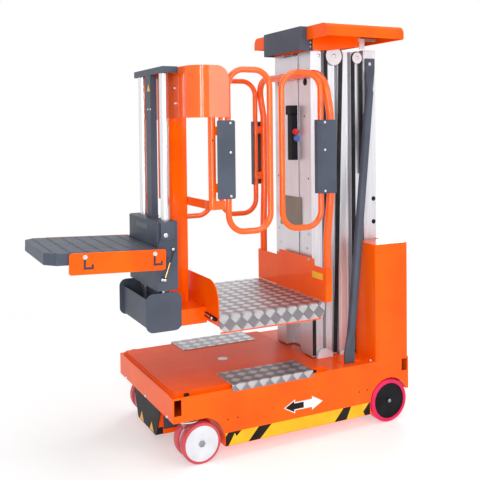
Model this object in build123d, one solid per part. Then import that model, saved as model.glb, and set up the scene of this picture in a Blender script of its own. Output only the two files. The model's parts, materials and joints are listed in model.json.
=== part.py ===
from build123d import *
import os

# Self-propelled vertical mast lift for order picking, stowed on its wheels. Millimetres, +Z up.
# x runs from the front bumper (station 0) to the rear end, the load tray reaches ahead of the bumper.
# y is negative on the near side. z is zero on the floor. The last function centres the model on x.

# Mast stations, which set the length of the machine behind the platform
section_count = 5
section_front_x = 833.0
section_pitch = 80.0
section_depth = 62.0
fixed_section_depth = 76.0
mast_tail = 50.0
section_stations = [section_front_x + index * section_pitch for index in range(section_count)]

# Base vehicle
base_length = section_stations[-1] + fixed_section_depth + mast_tail
base_half_width = 376.0
deck_z = 315.0
roof_top_z = 1981.0
head_height = 119.0
rail_drop = 236.0
bumper_bottom_z = 209.0
panel_bottom_z = 58.0
tail_bottom_z = 153.0
arch_radius = 120.0
panel_front_x = 250.0
hull_sheet = 5.0
corner_radius = 12.0
guard_top_half_width = 180.0
guard_bottom_half_width = 128.0
guard_bottom_z = panel_bottom_z + 4
guard_x = 12.0
guard_sheet = 4.0
guard_lug_height = 30.0
beam_half_width = 125.0
beam_sheet = 5.0
beam_window_x = (50.0, 140.0)
beam_window_z = (84.0, 190.0)
beam_notch = (32.0, 35.0)
lid_front_x = 12.0
lid_rear_x = 806.0
lid_half_width = base_half_width - 16
lid_step = 7.5
lid_margin = 8.0
step_front_x = 286.0
step_rear_x = 709.0
step_outer_y = base_half_width + 5
step_inner_y = step_outer_y - 175
step_sheet = 3.0
step_flange = 32.0
battery_x = (330.0, 720.0)
battery_half_width = lid_half_width - 110
battery_top_z = deck_z - 30
hull_slot_front_x = (8.0, 42.0)
hull_slot_rear_x = (base_length - 41, base_length - 7)
hull_slot_front_z = (236.0, deck_z - 9)
hull_slot_rear_z = (246.0, deck_z - 9)
caster_mount_half_width = 62.0

# Wheels
caster_radius = 92.0
caster_width = 42.0
caster_gap = 30.0
caster_y = base_half_width - caster_mount_half_width
caster_axle_x = 139.0
kingpin_x = 94.0
kingpin_radius = 12.0
caster_rim_radius = 79.0
caster_dish = 3.0
caster_axle_radius = 10.0
caster_plate = 6.0
crown_radius = 52.0
crown_thickness = 6.0
fork_web = 20.0
drive_radius = 108.0
drive_width = 60.0
drive_x = base_length - 121
drive_rim_radius = 88.0
drive_rim_recess = 4.0
drive_nut_radius = 14.0
drive_outer_y = base_half_width + 2
drive_arch_clearance = 7.0
drive_shaft_radius = 15.0
motor_radius = 60.0
motor_length = 130.0
running_clearance = 0.08
wheel_gap = 6.0

# Tower and mast
tower_front_x = section_stations[-2] + 8
tower_top_z = 896.0
tower_sheet = 4.0
slot_half_width = 207.0
section_half_width = 182.0
flange_width = 98.0
section_wall = 5.0
section_foot_z = 320.0
head_bottom_z = roof_top_z - head_height
section_top_z = head_bottom_z + 3
fixed_top_z = section_top_z + 12
tongue_stem = 16.0
tongue_head = 36.0
tongue_thickness = 8.0
slide_gap = 0.4
groove_width = 5.0
groove_depth = 2.0
hose_width = 20.0
hose_thickness = 7.0
hose_one_x = (section_stations[1] + 4, section_stations[2] + 16)
hose_one_low_z = (700.0, 330.0)
hose_one_lean_x = section_stations[1] + 49
hose_three_x = (section_stations[3] + 9, section_stations[3] + 55)
hose_three_low_z = (500.0, 1240.0)
hose_tail_x = (section_front_x - 4, section_front_x + 14)
hose_tail_z = (330.0, 600.0)
hose_clamp = (18.0, 30.0)
sheave_z = section_top_z - 25
sheave_gap = 1.5
sheave_flange = 3.0
sheave_flange_radius = {1: 47.0, 3: 29.0}
guide_block_table = {section_front_x + 63: 46.0, hose_one_x[1]: 20.0}
guide_block_sheet = 14.0
side_clearance = 5.0
brace_diameter = 42.0
brace_plate = 10.0
brace_plate_width = 56.0
brace_drop = 71.0
brace_knee_drop = 132.0
brace_top = (base_length - 89, fixed_top_z - brace_drop)
brace_top_knee = (base_length - 95, 203.0, fixed_top_z - brace_knee_drop)
brace_foot_knee = (957.0, base_half_width - 46, deck_z + 77)
brace_foot = (952.0, deck_z + 30)
brace_taper = 90.0

# Head and roof
head_front_x = 770.0
head_half_width = 190.5
head_rear_x = 848.0
head_sheet = 3.0
roof_front_x = 809.0
roof_rear_x = base_length - 17
roof_half_width = 374.5
roof_skirt = 66.0
roof_roll = 38.0
cheek_inner_y = 202.5
cheek_sheet = 4.0
cheek_rear_x = tower_front_x + 37
cap_thickness = 8.0

# Platform
floor_front_x = 245.0
floor_rear_x = 807.0
floor_half_width = 337.0
floor_z = 636.0
floor_sheet = 4.0
apron_bottom_z = 562.0
apron_radius = 40.0
pan_depth = 44.0
kick_sheet = 4.0
kick_rear_z = 800.0
kick_tab_z = 832.0
kick_tab_y = (-239.0, 110.0)
kick_wrap = 30.0
kick_front_z = 790.0
kick_front_radius = 100.0
kick_front_drop = 9.0
rail_diameter = 38.0
rail_post_x = 844.0
rail_post_y = 338.0
kick_overhang = 12.0
rail_top_z = roof_top_z - rail_drop
rail_foot_rise = 20.0
rail_radius = 100.0
rail_gap = 0.3
joggle_low_z = 937.0
joggle_high_z = 1150.0
post_diameter = 33.7
post_x = 225.0
post_y = 325.0
belt_low_z = 1117.0
belt_height = 40.0
belt_sheet = 6.0
belt_front_x = 213.0
belt_rear_x = 283.0
shield_front_x = 116.0
shield_half_width = 356.0
shield_rear_x = 299.0
shield_top_z = 1762.0
shield_height = 232.0
shield_low_z = shield_top_z - shield_height
shield_radius = 90.0
shield_sheet = 3.0
shield_corner = 60.0
column_half_width = 60.0
column_wall = 4.0
column_top_z = shield_top_z - 2
neck_top_z = 651.0
neck_bottom_z = 578.0
neck_half_width = 200.0
neck_sheet = 5.0
pan_edge = 5.0
pan_bar = 12.0
pan_stations = (430.0, 620.0)
carrier_half_width = 30.0

# Gates: hinge tube station, latch tube station, low and high bar centres, and opening turn
gate_y = 337.0
gate_diameter = 28.0
gate_radius = 80.0
gate_table = {
    "front": {"hinge_x": 299.0, "latch_x": 514.0, "low_z": belt_low_z - 106, "high_z": rail_top_z + 2,
              "post_x": post_x, "post_y": post_y, "post_radius": post_diameter / 2},
    "rear": {"hinge_x": 790.0, "latch_x": 577.0, "low_z": belt_low_z - 110, "high_z": rail_top_z - 5,
             "post_x": rail_post_x, "post_y": rail_post_y, "post_radius": rail_diameter / 2},
}
sleeve_wall = 4.0
sleeve_height = 40.0
sleeve_clearance = 0.5
hinge_levels = (belt_low_z + 78, shield_low_z - 80)
hinge_bar = 8.0
cover_y = 360.0
cover_sheet = 3.0
cover_low_z = belt_low_z + 48
cover_high_z = shield_low_z - 13
cover_table = {"front": (234.0, 323.0), "rear": (785.0, 864.0)}
cover_bend = 18.0
cover_return = 27.0

# Control box on the mast
box_body_y = (-56.0, -14.0)
box_head_y = (-58.0, -8.0)
box_drop = 270.0
box_height = 281.0
box_top_z = section_top_z - box_drop
box_low_z = box_top_z - box_height
box_depth = 34.0
box_head_depth = 8.0
box_head_height = 48.0
cover_plate_y = (-59.0, 125.0)
cover_plate_low_z = 640.0

# Tray mast, carriage and tray
guide_x = 66.0
guide_y = 147.0
guide_diameter = 42.0
guide_clearance = 0.5
channel_x = (42.0, 73.0)
channel_half_width = 33.0
channel_wall = 4.0
bracket_x = (41.0, shield_front_x)
bracket_half_width = 200.0
bracket_top_z = shield_top_z + 3
bracket_flange = 30.0
bracket_sheet = 4.0
trough_x = (-34.0, 119.0)
trough_bottom_z = 575.0
trough_top_z = 707.0
trough_sheet = 4.0
end_plate_x = (-52.0, 121.0)
end_plate_z = (562.0, 739.0)
end_plate_radius = 35.0
carriage_x = (4.0, 104.0)
carriage_half_width = 199.0
carriage_z = (748.0, 1062.0)
carriage_sheet = 4.0
guide_block = 58.0
guide_block_height = 50.0
pivot = (44.0, 1002.0)
pivot_radius = 8.0
arm_inner_y = 204.5
arm_sheet = 5.0
arm_front_x = -140.0
cheek_plate_y = 215.0
strut_foot = (33.0, 804.0)
strut_head = (78.0, 934.0)
strut_diameter = 8.0
tray_rear_x = -2.0
tray_top_z = 950.0
tray_length = 500.0
tray_half_width = 255.0
tray_depth = 51.0
tray_sheet = 4.0
tray_chamfer = 45.0
tray_tilt = 2.2
rib_count = 7
rib_height = 2.0
rib_width = 14.0
side_plate_y = 260.5
side_plate_sheet = 4.0
side_plate_x = (-407.0, 24.0)
side_plate_height = 93.0
slot_backing = 37.0
slot_width = 10.0
slot_drop = 48.0
slot_hook = 34.0
slot_rise = 16.0
bolt_drop = 18.0
bolt_stations = (-340.0, -29.0)
bolt_head_radius = 10.0
bolt_head = 6.0

nodes = {}


def block(x, y, z):
    size = [pair[1] - pair[0] for pair in (x, y, z)]
    middle = [(pair[0] + pair[1]) / 2 for pair in (x, y, z)]
    return Pos(*middle) * Box(*size)


def prism(axis, low, high, points, radii=0):
    """Closed outline across an axis, with rounded corners, extruded from low to high."""
    place = {
        "x": lambda p: (low, p[0], p[1]),
        "y": lambda p: (p[0], low, p[1]),
        "z": lambda p: (p[0], p[1], low),
    }[axis]
    direction = {"x": (1, 0, 0), "y": (0, 1, 0), "z": (0, 0, 1)}[axis]
    corners = [place(p) for p in points]
    if isinstance(radii, (int, float)):
        radii = [radii] * len(corners)
    if any(radii):
        edge = FilletPolyline(*corners, radius=radii, close=True)
    else:
        edge = Polyline(*corners, close=True)
    return extrude(make_face(edge), amount=high - low, dir=direction)


def rectangle(a, b):
    return [(a[0], b[0]), (a[1], b[0]), (a[1], b[1]), (a[0], b[1])]


def rod(start, end, diameter):
    start, end = Vector(*start), Vector(*end)
    plane = Plane(origin=start, z_dir=end - start)
    return extrude(plane * Circle(diameter / 2), amount=(end - start).length)


def disc(axis, centre, radius, low, high):
    """Round boss along x, y or z: centre holds the two other coordinates in order."""
    start, end = {
        "x": ((low, *centre), (high, *centre)),
        "y": ((centre[0], low, centre[1]), (centre[0], high, centre[1])),
        "z": ((*centre, low), (*centre, high)),
    }[axis]
    return rod(start, end, 2 * radius)


def tube(points, radii, diameter):
    path = FilletPolyline(*points, radius=radii)
    start = Plane(origin=path @ 0, z_dir=path % 0)
    return sweep(start * Circle(diameter / 2), path=path)


def mirrored(shape):
    return mirror(shape, about=Plane.XZ)


def pair(shape):
    return [shape, mirrored(shape)]


def fuse(shapes):
    total = shapes[0]
    for shape in shapes[1:]:
        total = total + shape
    return total


def add(name, *shapes):
    solids = []
    for shape in shapes:
        parts = shape if isinstance(shape, list) else [shape]
        for piece in parts:
            solids.extend(piece.solids())
    nodes[name] = solids


# Chassis


def hull_outline(inset):
    low = bumper_bottom_z + inset
    return [
        (inset, deck_z - inset),
        (inset, low),
        (panel_front_x + inset, low),
        (panel_front_x + inset, panel_bottom_z + inset),
        (drive_x - motor_radius, panel_bottom_z + inset),
        (drive_x - motor_radius, tail_bottom_z + inset),
        (base_length - inset, tail_bottom_z + inset),
        (base_length - inset, deck_z - inset),
    ]


def hull():
    """Welded plate hull with arches for the casters and round wells for the drive wheels."""
    well_radius = drive_radius + drive_arch_clearance
    well_y = drive_outer_y - drive_width - wheel_gap
    arch = arch_radius
    outer = prism("y", -base_half_width, base_half_width, hull_outline(0), [0, 0, arch, 0, 0, 0, 0, 0])
    inner_y = base_half_width - hull_sheet
    inner_arch = arch + hull_sheet
    space = prism("y", -inner_y, inner_y, hull_outline(hull_sheet), [0, 0, inner_arch, 0, 0, 0, 0, 0])
    wheel = (drive_x, drive_radius)
    well = disc("y", wheel, well_radius, well_y, base_half_width + 1)
    wall = disc("y", wheel, well_radius + hull_sheet, well_y - hull_sheet, base_half_width + 1)
    space = space - pair(wall)
    shell = outer - pair(well) - space
    shell = shell - pair(disc("y", wheel, drive_shaft_radius + 3, well_y - 2 * hull_sheet, well_y + 1))
    motor_y = (well_y - hull_sheet - motor_length, well_y - hull_sheet)
    shell = shell - pair(disc("y", wheel, motor_radius + 1, *motor_y))
    kingpin_hole = kingpin_radius + running_clearance
    plate_z = (bumper_bottom_z - caster_plate, bumper_bottom_z)
    mount_y = (caster_y - caster_mount_half_width, base_half_width - hull_sheet)
    mount = block((hull_sheet, 2 * kingpin_x - hull_sheet), mount_y, plate_z)
    for side in (1, -1):
        shell = shell + (mount if side > 0 else mirrored(mount))
        hole = disc("z", (kingpin_x, side * caster_y), kingpin_hole, plate_z[0] - 1, bumper_bottom_z + 6)
        shell = shell - hole
    wall_y = (inner_y - 1, base_half_width + 1)
    for x, z in ((hull_slot_front_x, hull_slot_front_z), (hull_slot_rear_x, hull_slot_rear_z)):
        shell = shell - pair(block(x, wall_y, z))
    return shell


def deck_lid():
    """Raised lid over the battery bay, in two steps."""
    lower = block((lid_front_x, lid_rear_x), (-lid_half_width, lid_half_width), (deck_z, deck_z + lid_step))
    edge = lid_half_width - lid_margin
    upper = block((lid_front_x + lid_margin, lid_rear_x - lid_margin), (-edge, edge),
                  (deck_z + lid_step, deck_z + 2 * lid_step))
    return fillet(lower.edges().filter_by(Axis.Z), 10) + fillet(upper.edges().filter_by(Axis.Z), 10)


def side_step():
    """Tread plate over the lid's edge with its outer side turned down."""
    top = deck_z + 2 * lid_step + step_sheet
    plate = block((step_front_x, step_rear_x), (-step_outer_y, -step_inner_y), (top - step_sheet, top))
    flange = block((step_front_x, step_rear_x), (-step_outer_y, -step_outer_y + step_sheet),
                   (top - step_flange, top))
    return plate + flange


def front_guard():
    """Hanging plate under the bumper that stops debris between the casters."""
    top = bumper_bottom_z
    lug_z = top - guard_lug_height
    outline = [
        (-guard_top_half_width, top), (guard_top_half_width, top), (guard_top_half_width, lug_z),
        (guard_bottom_half_width, guard_bottom_z), (-guard_bottom_half_width, guard_bottom_z),
        (-guard_top_half_width, lug_z),
    ]
    return prism("x", guard_x, guard_x + guard_sheet, outline, [0, 0, 6, 12, 12, 6])


def beam_plate():
    """Upright plate of the centre beam between the casters, with a window and a notched foot."""
    front = guard_x + guard_sheet
    y = (beam_half_width - beam_sheet, beam_half_width)
    notch_x = front + beam_notch[0]
    notch_z = guard_bottom_z + beam_notch[1]
    outline = [
        (front, bumper_bottom_z), (front, notch_z), (notch_x, notch_z), (notch_x, guard_bottom_z),
        (panel_front_x, guard_bottom_z), (panel_front_x, bumper_bottom_z),
    ]
    plate = prism("y", *y, outline)
    arch = (panel_front_x - arch_radius, bumper_bottom_z - arch_radius)
    corner = block((arch[0], panel_front_x + 1), (y[0] - 1, y[1] + 1), (arch[1], bumper_bottom_z + 1))
    corner = corner - disc("y", arch, arch_radius, y[0] - 2, y[1] + 2)
    return plate - corner - block(beam_window_x, (y[0] - 1, y[1] + 1), beam_window_z)


def drive_unit():
    """Wheel motor bolted to the inner wall of its wheel well."""
    wall_y = drive_outer_y - drive_width - wheel_gap - hull_sheet
    axle = (drive_x, drive_radius)
    body = disc("y", axle, motor_radius, wall_y - motor_length, wall_y)
    small = disc("y", axle, motor_radius * 0.7, wall_y - motor_length - 50, wall_y - motor_length)
    bore = disc("y", axle, drive_shaft_radius + running_clearance, wall_y - 40, wall_y)
    return body + small - bore


def drive_wheel():
    inner = drive_outer_y - drive_width
    axle = (drive_x, drive_radius)
    face_y = drive_outer_y - drive_rim_recess
    rim = disc("y", axle, drive_rim_radius, inner + drive_rim_recess, face_y)
    nut = disc("y", axle, drive_nut_radius, face_y - 1, drive_outer_y)
    wall_y = inner - wheel_gap - hull_sheet
    shaft = disc("y", axle, drive_shaft_radius, wall_y - 38, inner + 6)
    tyre = disc("y", axle, drive_radius, inner, drive_outer_y)
    tyre = fillet(tyre.edges(), 9) - disc("y", axle, drive_rim_radius, inner - 1, drive_outer_y + 1)
    return rim + nut + shaft, tyre


def caster_fork():
    """Swivel head with one leg between its twin wheels."""
    plate_low = bumper_bottom_z - caster_plate
    crown_low = caster_radius * 2 + side_clearance
    crown = disc("z", (kingpin_x, caster_y), crown_radius, crown_low, crown_low + crown_thickness)
    race = disc("z", (kingpin_x, caster_y), crown_radius * 0.7, crown_low, plate_low - 0.3)
    pin = disc("z", (kingpin_x, caster_y), kingpin_radius, crown_low, bumper_bottom_z + 5)
    half = fork_web / 2
    leg = prism("y", caster_y - half, caster_y + half, [
        (kingpin_x - 40, crown_low + 1), (kingpin_x + 46, crown_low + 1),
        (caster_axle_x + 26, caster_radius), (caster_axle_x, caster_radius - 26),
        (caster_axle_x - 26, caster_radius),
    ], [0, 0, 10, 18, 10])
    bore = disc("y", (caster_axle_x, caster_radius), caster_axle_radius + running_clearance,
                caster_y - half - 1, caster_y + half + 1)
    return crown + race + pin + leg - bore


def caster_wheel():
    axle = (caster_axle_x, caster_radius)
    reach = caster_gap / 2 + caster_width
    hubs = []
    tyres = []
    for side in (-1, 1):
        inner = caster_y + side * caster_gap / 2
        outer = caster_y + side * reach
        low, high = min(inner, outer), max(inner, outer)
        rim = disc("y", axle, caster_rim_radius, low + 1, high - 1)
        dish = disc("y", axle, caster_rim_radius - 10, outer - caster_dish, outer + caster_dish)
        boss = disc("y", axle, 18, low, high)
        hubs.append(rim - dish + boss)
        tyre = fillet(disc("y", axle, caster_radius, low, high).edges(), 7)
        tyres.append(tyre - disc("y", axle, caster_rim_radius, low - 1, high + 1))
    axle_rod = disc("y", axle, caster_axle_radius, caster_y - reach, caster_y + reach)
    return fuse(hubs + [axle_rod]), tyres


def tower_plan(inset):
    half = base_half_width - inset
    slot = slot_half_width + inset
    front = tower_front_x + inset
    back = base_length - inset
    bay = fixed_back_x + wheel_gap + inset
    return [
        (front, -half), (back, -half), (back, half), (front, half),
        (front, slot), (bay, slot), (bay, -slot), (front, -slot),
    ]


def tower():
    """Sheet housing round the mast's foot, open to the front and above the mast."""
    radii = [corner_radius] * 4 + [0] * 4
    outer = prism("z", deck_z, tower_top_z, tower_plan(0), radii)
    top_edges = outer.faces().sort_by(Axis.Z)[-1].outer_wire().edges()
    outer = fillet(top_edges, 5)
    inner_radii = [corner_radius - tower_sheet] * 4 + [0] * 4
    space = prism("z", deck_z - 1, tower_top_z - tower_sheet - 3, tower_plan(tower_sheet), inner_radii)
    return outer - space


# Mast


def section_x(index):
    return section_stations[index]


fixed_back_x = section_x(section_count - 1) + fixed_section_depth
flange_middle = section_half_width - flange_width / 2


def mast_section(index):
    """Extruded section: two hollow flanges joined by a web, tongues behind, slots in front."""
    front = section_x(index)
    fixed = index == section_count - 1
    back = front + (fixed_section_depth if fixed else section_depth)
    low = deck_z if fixed else section_foot_z
    high = fixed_top_z if fixed else section_top_z
    inner_y = section_half_width - flange_width
    flange = block((front, back), (inner_y, section_half_width), (low, high))
    hollow = block((front + section_wall, back - section_wall),
                   (inner_y + section_wall, section_half_width - section_wall), (low - 1, high + 1))
    flange = flange - hollow
    groove_y = (section_half_width - groove_depth, section_half_width + 1)
    for station in (front + 10, back - 14):
        flange = flange - block((station, station + groove_width), groove_y, (low - 1, high + 1))
    if index:
        half_slot = tongue_stem / 2 + slide_gap
        flange = flange - block((front - 1, front + section_wall + 1),
                                (flange_middle - half_slot, flange_middle + half_slot), (low - 1, high + 1))
    if not fixed:
        next_inside = section_x(index + 1) + section_wall + slide_gap
        stem = block((back - 1, next_inside + tongue_thickness),
                     (flange_middle - tongue_stem / 2, flange_middle + tongue_stem / 2), (low, high))
        head = block((next_inside, next_inside + tongue_thickness),
                     (flange_middle - tongue_head / 2, flange_middle + tongue_head / 2), (low, high))
        flange = flange + stem + head
    web = block((back - 2 * section_wall, back - section_wall), (-inner_y, inner_y), (low, high))
    return flange + mirrored(flange) + web


hose_low_y = section_half_width + side_clearance
hose_high_y = hose_low_y + hose_thickness


def hose_loop(stations, low_z, lean_x, centre_z):
    """Flat hose over a sheave: down on the left, over the top, and down on the right with a lean."""
    x_left, x_right = stations
    middle = (x_left + x_right) / 2
    half = hose_width / 2
    outer = (x_right - x_left) / 2 + half
    inner = outer - hose_width
    ring = disc("y", (middle, centre_z), outer, hose_low_y, hose_high_y)
    ring = ring - disc("y", (middle, centre_z), inner, hose_low_y - 1, hose_high_y + 1)
    ring = ring - block((middle - outer - 1, middle + outer + 1), (hose_low_y - 1, hose_high_y + 1),
                        (centre_z - outer - 1, centre_z))
    left = block((x_left - half, x_left + half), (hose_low_y, hose_high_y), (low_z[0], centre_z))
    right = prism("y", hose_low_y, hose_high_y, [
        (x_right - half, centre_z), (x_right + half, centre_z),
        (lean_x + half, low_z[1]), (lean_x - half, low_z[1]),
    ])
    return mirrored(ring + left + right)


def sheave(index, stations, centre_z):
    """Sheave inside a hose loop, its outer flange over the hose, on a stub from the section's side."""
    middle = (stations[0] + stations[1]) / 2
    radius = (stations[1] - stations[0]) / 2 - hose_width / 2 - sheave_gap
    hub_x = min(middle, section_x(index) + section_depth - 20)
    face_y = hose_high_y + rail_gap
    wheel = disc("y", (middle, centre_z), radius, hose_low_y, face_y)
    flange = disc("y", (middle, centre_z), sheave_flange_radius[index], face_y, face_y + sheave_flange)
    stub = disc("y", (hub_x, centre_z), 8, section_half_width, hose_low_y + 1)
    cap = disc("y", (middle, centre_z), 7, face_y, face_y + 2 * sheave_flange)
    return mirrored(fuse([wheel, flange, stub, cap]))


def clamp(x, z):
    """Block that ties a hose run to the section's side."""
    half = hose_clamp[0] / 2
    rise = hose_clamp[1] / 2
    return mirrored(block((x - half, x + half), (section_half_width, hose_low_y), (z - rise, z + rise)))


def hose_guides():
    """Half-round guides that stand on the deck beside the mast's foot and turn the hoses."""
    high_y = hose_low_y + guide_block_sheet
    shapes = []
    for x, radius in guide_block_table.items():
        reach = radius + 1
        upper = block((x - reach, x + reach), (hose_low_y - 1, high_y + 1), (deck_z, deck_z + reach))
        shapes.append(mirrored(disc("y", (x, deck_z), radius, hose_low_y, high_y) & upper))
    return shapes


def brace():
    """Round stay whose flattened ends are bent upright and bolted to the mast and to the deck."""
    top_y = section_half_width + rail_gap + brace_plate / 2
    ends = [
        (Vector(*brace_top_knee), Vector(brace_top[0], top_y, brace_top[1]), 1),
        (Vector(*brace_foot_knee), Vector(brace_foot[0], brace_foot_knee[1], brace_foot[1]), -1),
    ]
    along = (ends[1][0] - ends[0][0]).normalized()
    pieces = []
    for knee, bolt, sign in ends:
        inward = along * sign
        round_end = Plane(origin=knee + inward * brace_taper, x_dir=(1, 0, 0.0), z_dir=inward)
        edge = bolt.Z - sign * brace_plate_width / 2
        flat = Plane(origin=(bolt.X, bolt.Y, edge), x_dir=(1, 0, 0), z_dir=(0, 0, -sign))
        plate = flat * Rectangle(brace_plate_width, brace_plate)
        pieces.append(loft([plate, round_end * Circle(brace_diameter / 2)]))
        pieces.append(extrude(plate, amount=-brace_plate_width))
    start = ends[0][0] + along * brace_taper
    end = ends[1][0] - along * brace_taper
    pieces.append(rod(tuple(start), tuple(end), brace_diameter))
    return fuse(pieces)


def brace_bracket():
    """Lug on the deck that takes the stay's foot."""
    foot_x, foot_z = brace_foot
    plate_face = brace_foot_knee[1] - brace_plate / 2 - rail_gap
    base = block((foot_x - 40, foot_x + 70), (plate_face - 60, plate_face), (deck_z, deck_z + 6))
    lug = prism("y", plate_face - 8, plate_face, [
        (foot_x - 34, deck_z), (foot_x + 40, deck_z), (foot_x + 28, foot_z + 26), (foot_x - 26, foot_z + 26),
    ], [0, 0, 10, 10])
    return base + lug


# Head and roof


def head_cover():
    """Folded cover in front of the mast's head, open behind and below."""
    half = head_half_width
    outer = block((head_front_x, head_rear_x), (-half, half), (head_bottom_z, roof_top_z))
    edge = half - head_sheet
    space = block((head_front_x + head_sheet, head_rear_x + 1), (-edge, edge),
                  (head_bottom_z - 1, roof_top_z - head_sheet))
    shell = fillet(outer.edges().filter_by(Axis.Z).sort_by(Axis.X)[:2], 4) - space
    step = block((roof_front_x - 0.5, head_rear_x + 1), (-half - 1, half + 1),
                 (roof_top_z - roof_skirt - 0.5, roof_top_z + 1))
    return shell - step


def roof():
    """Pressed roof wing with rolled sides, open below."""
    low = roof_top_z - roof_skirt
    outline = [(-roof_half_width, low), (-roof_half_width, roof_top_z), (roof_half_width, roof_top_z),
               (roof_half_width, low)]
    outer = prism("x", roof_front_x, roof_rear_x, outline, [8, roof_roll, roof_roll, 8])
    edge = roof_half_width - head_sheet
    top = roof_top_z - head_sheet
    inside = [(-edge, low - 20), (-edge, top), (edge, top), (edge, low - 20)]
    roll = roof_roll - head_sheet
    space = prism("x", roof_front_x + head_sheet, roof_rear_x - head_sheet, inside, [0, roll, roll, 0])
    return outer - space


def head_frame():
    """Cap on the front section and two cheeks that carry the roof over the sheaves."""
    x0 = section_x(0)
    x1 = x0 + section_depth
    outer_y = cheek_inner_y + cheek_sheet
    under_roof = roof_top_z - head_sheet
    inside = head_half_width - head_sheet - rail_gap
    cap = block((x0, x1), (-inside, inside), (section_top_z, section_top_z + cap_thickness))
    links = block((head_rear_x + 2, x1), (-outer_y, outer_y), (section_top_z, section_top_z + cap_thickness))
    cheek = prism("y", cheek_inner_y, outer_y, [
        (x0, section_top_z), (x1 + 30, section_top_z), (cheek_rear_x, section_top_z + 27),
        (cheek_rear_x, under_roof), (x0, under_roof),
    ])
    front_web = block((x0, x0 + cheek_sheet), (-inside, inside), (section_top_z, under_roof))
    rear_bar = block((cheek_rear_x - 40, cheek_rear_x), (-outer_y, outer_y), (under_roof - 40, under_roof))
    return fuse([cap, links, cheek, mirrored(cheek), front_web, rear_bar])


# Platform


def platform_tread():
    """Chequer floor with both long sides turned down into aprons."""
    floor = block((floor_front_x, floor_rear_x), (-floor_half_width, floor_half_width),
                  (floor_z - floor_sheet, floor_z))
    apron = prism("y", floor_half_width - floor_sheet, floor_half_width,
                  rectangle((floor_front_x, floor_rear_x), (apron_bottom_z, floor_z)),
                  [apron_radius, apron_radius, 0, 0])
    return floor + apron + mirrored(apron)


def platform_frame():
    """Pan under the floor, cross members and the two carriers that hold the front section."""
    outer = floor_half_width - floor_sheet
    radius = apron_radius + pan_edge
    side = prism("y", outer - floor_sheet, outer,
                 rectangle((floor_front_x, floor_rear_x), (apron_bottom_z - pan_edge, floor_z - floor_sheet)),
                 [radius, radius, 0, 0])
    pan_z = (floor_z - floor_sheet - pan_depth, floor_z - floor_sheet)
    span = (-outer + floor_sheet, outer - floor_sheet)
    bars = [side, mirrored(side)]
    for station in (floor_front_x, *pan_stations, floor_rear_x - pan_bar):
        bars.append(block((station, station + pan_bar), span, pan_z))
    for side_y in (1, -1):
        edges = (side_y * (flange_middle - carrier_half_width), side_y * (flange_middle + carrier_half_width))
        near, far = sorted(edges)
        bars.append(block((floor_rear_x - 1, section_front_x), (near, far), (apron_bottom_z, pan_z[1])))
    half = neck_half_width
    neck = block((column_x[0], floor_front_x), (-half, half), (neck_bottom_z, neck_top_z))
    space = block((column_x[0] - 1, floor_front_x + 1), (-half + neck_sheet, half - neck_sheet),
                  (neck_bottom_z - 1, neck_top_z - neck_sheet))
    bars.append(neck - space)
    return fuse(bars)


def rear_kick_plate():
    """Toe board at the mast with a raised tab, its ends wrapped round the handrail's posts."""
    half = floor_half_width + kick_overhang
    outline = [
        (-half, floor_z), (-half, kick_rear_z), (kick_tab_y[0], kick_rear_z), (kick_tab_y[0], kick_tab_z),
        (kick_tab_y[1], kick_tab_z), (kick_tab_y[1], kick_rear_z), (half, kick_rear_z), (half, floor_z),
    ]
    plate = prism("x", floor_rear_x, floor_rear_x + kick_sheet, outline, [0, 0, 8, 8, 8, 8, 0, 0])
    wrap = prism("y", half - kick_sheet, half,
                 rectangle((floor_rear_x, floor_rear_x + kick_sheet + kick_wrap), (floor_z, kick_rear_z)),
                 [0, 10, 10, 0])
    return fuse([plate, wrap, mirrored(wrap)])


def front_kick_plate():
    low = floor_z - kick_front_drop
    outline = rectangle((-floor_half_width, floor_half_width), (low, kick_front_z))
    radii = [10, 10, kick_front_radius, kick_front_radius]
    plate = prism("x", floor_front_x - kick_sheet, floor_front_x, outline, radii)
    notch = block((floor_front_x - kick_sheet - 1, floor_front_x + 1), (-neck_half_width, neck_half_width),
                  (low - 1, neck_top_z))
    return plate - notch


def handrail():
    """Inverted U rail: posts joggled down into the kick plate's wraps, top brought forward of the mast."""
    radius = rail_diameter / 2
    foot_x = floor_rear_x + kick_sheet + radius + rail_gap
    foot_y = floor_half_width + kick_overhang - kick_sheet - radius - rail_gap
    top_x = section_front_x - head_sheet - radius - rail_gap
    y = rail_post_y
    bend_z = rail_top_z - 2 * rail_radius
    half = [
        (foot_x, foot_y, floor_z + rail_foot_rise), (foot_x, foot_y, joggle_low_z),
        (rail_post_x, y, joggle_high_z), (rail_post_x, y, bend_z), (top_x, y, rail_top_z),
    ]
    points = [(x, -y, z) for x, y, z in half] + half[::-1]
    return tube(points, [150, 150, 150, rail_radius, rail_radius, 150, 150, 150], rail_diameter)


column_x = (shield_front_x + shield_sheet, belt_front_x)


def guard_frame():
    """Two posts tied by a flat belt that returns along both sides."""
    posts = [disc("z", (post_x, side * post_y), post_diameter / 2, belt_low_z, shield_top_z - shield_corner)
             for side in (-1, 1)]
    x0 = belt_front_x
    half = floor_half_width
    outline = [(belt_rear_x, -half), (x0, -half), (x0, half), (belt_rear_x, half),
               (belt_rear_x, half - belt_sheet), (x0 + belt_sheet, half - belt_sheet),
               (x0 + belt_sheet, -half + belt_sheet), (belt_rear_x, -half + belt_sheet)]
    belt = prism("z", belt_low_z, belt_low_z + belt_height, outline, [0, 8, 8, 0, 0, 2, 2, 0])
    ties = []
    for side in (-1, 1):
        near, far = sorted((side * post_y, side * (shield_half_width - shield_sheet)))
        ties.append(block((post_x - 5, post_x + 5), (near, far), (shield_low_z + 40, shield_low_z + 70)))
        ties.append(block((post_x - 5, post_x + 5), (near, far), (shield_top_z - 120, shield_top_z - 90)))
    return fuse(posts + [belt] + ties)


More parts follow.
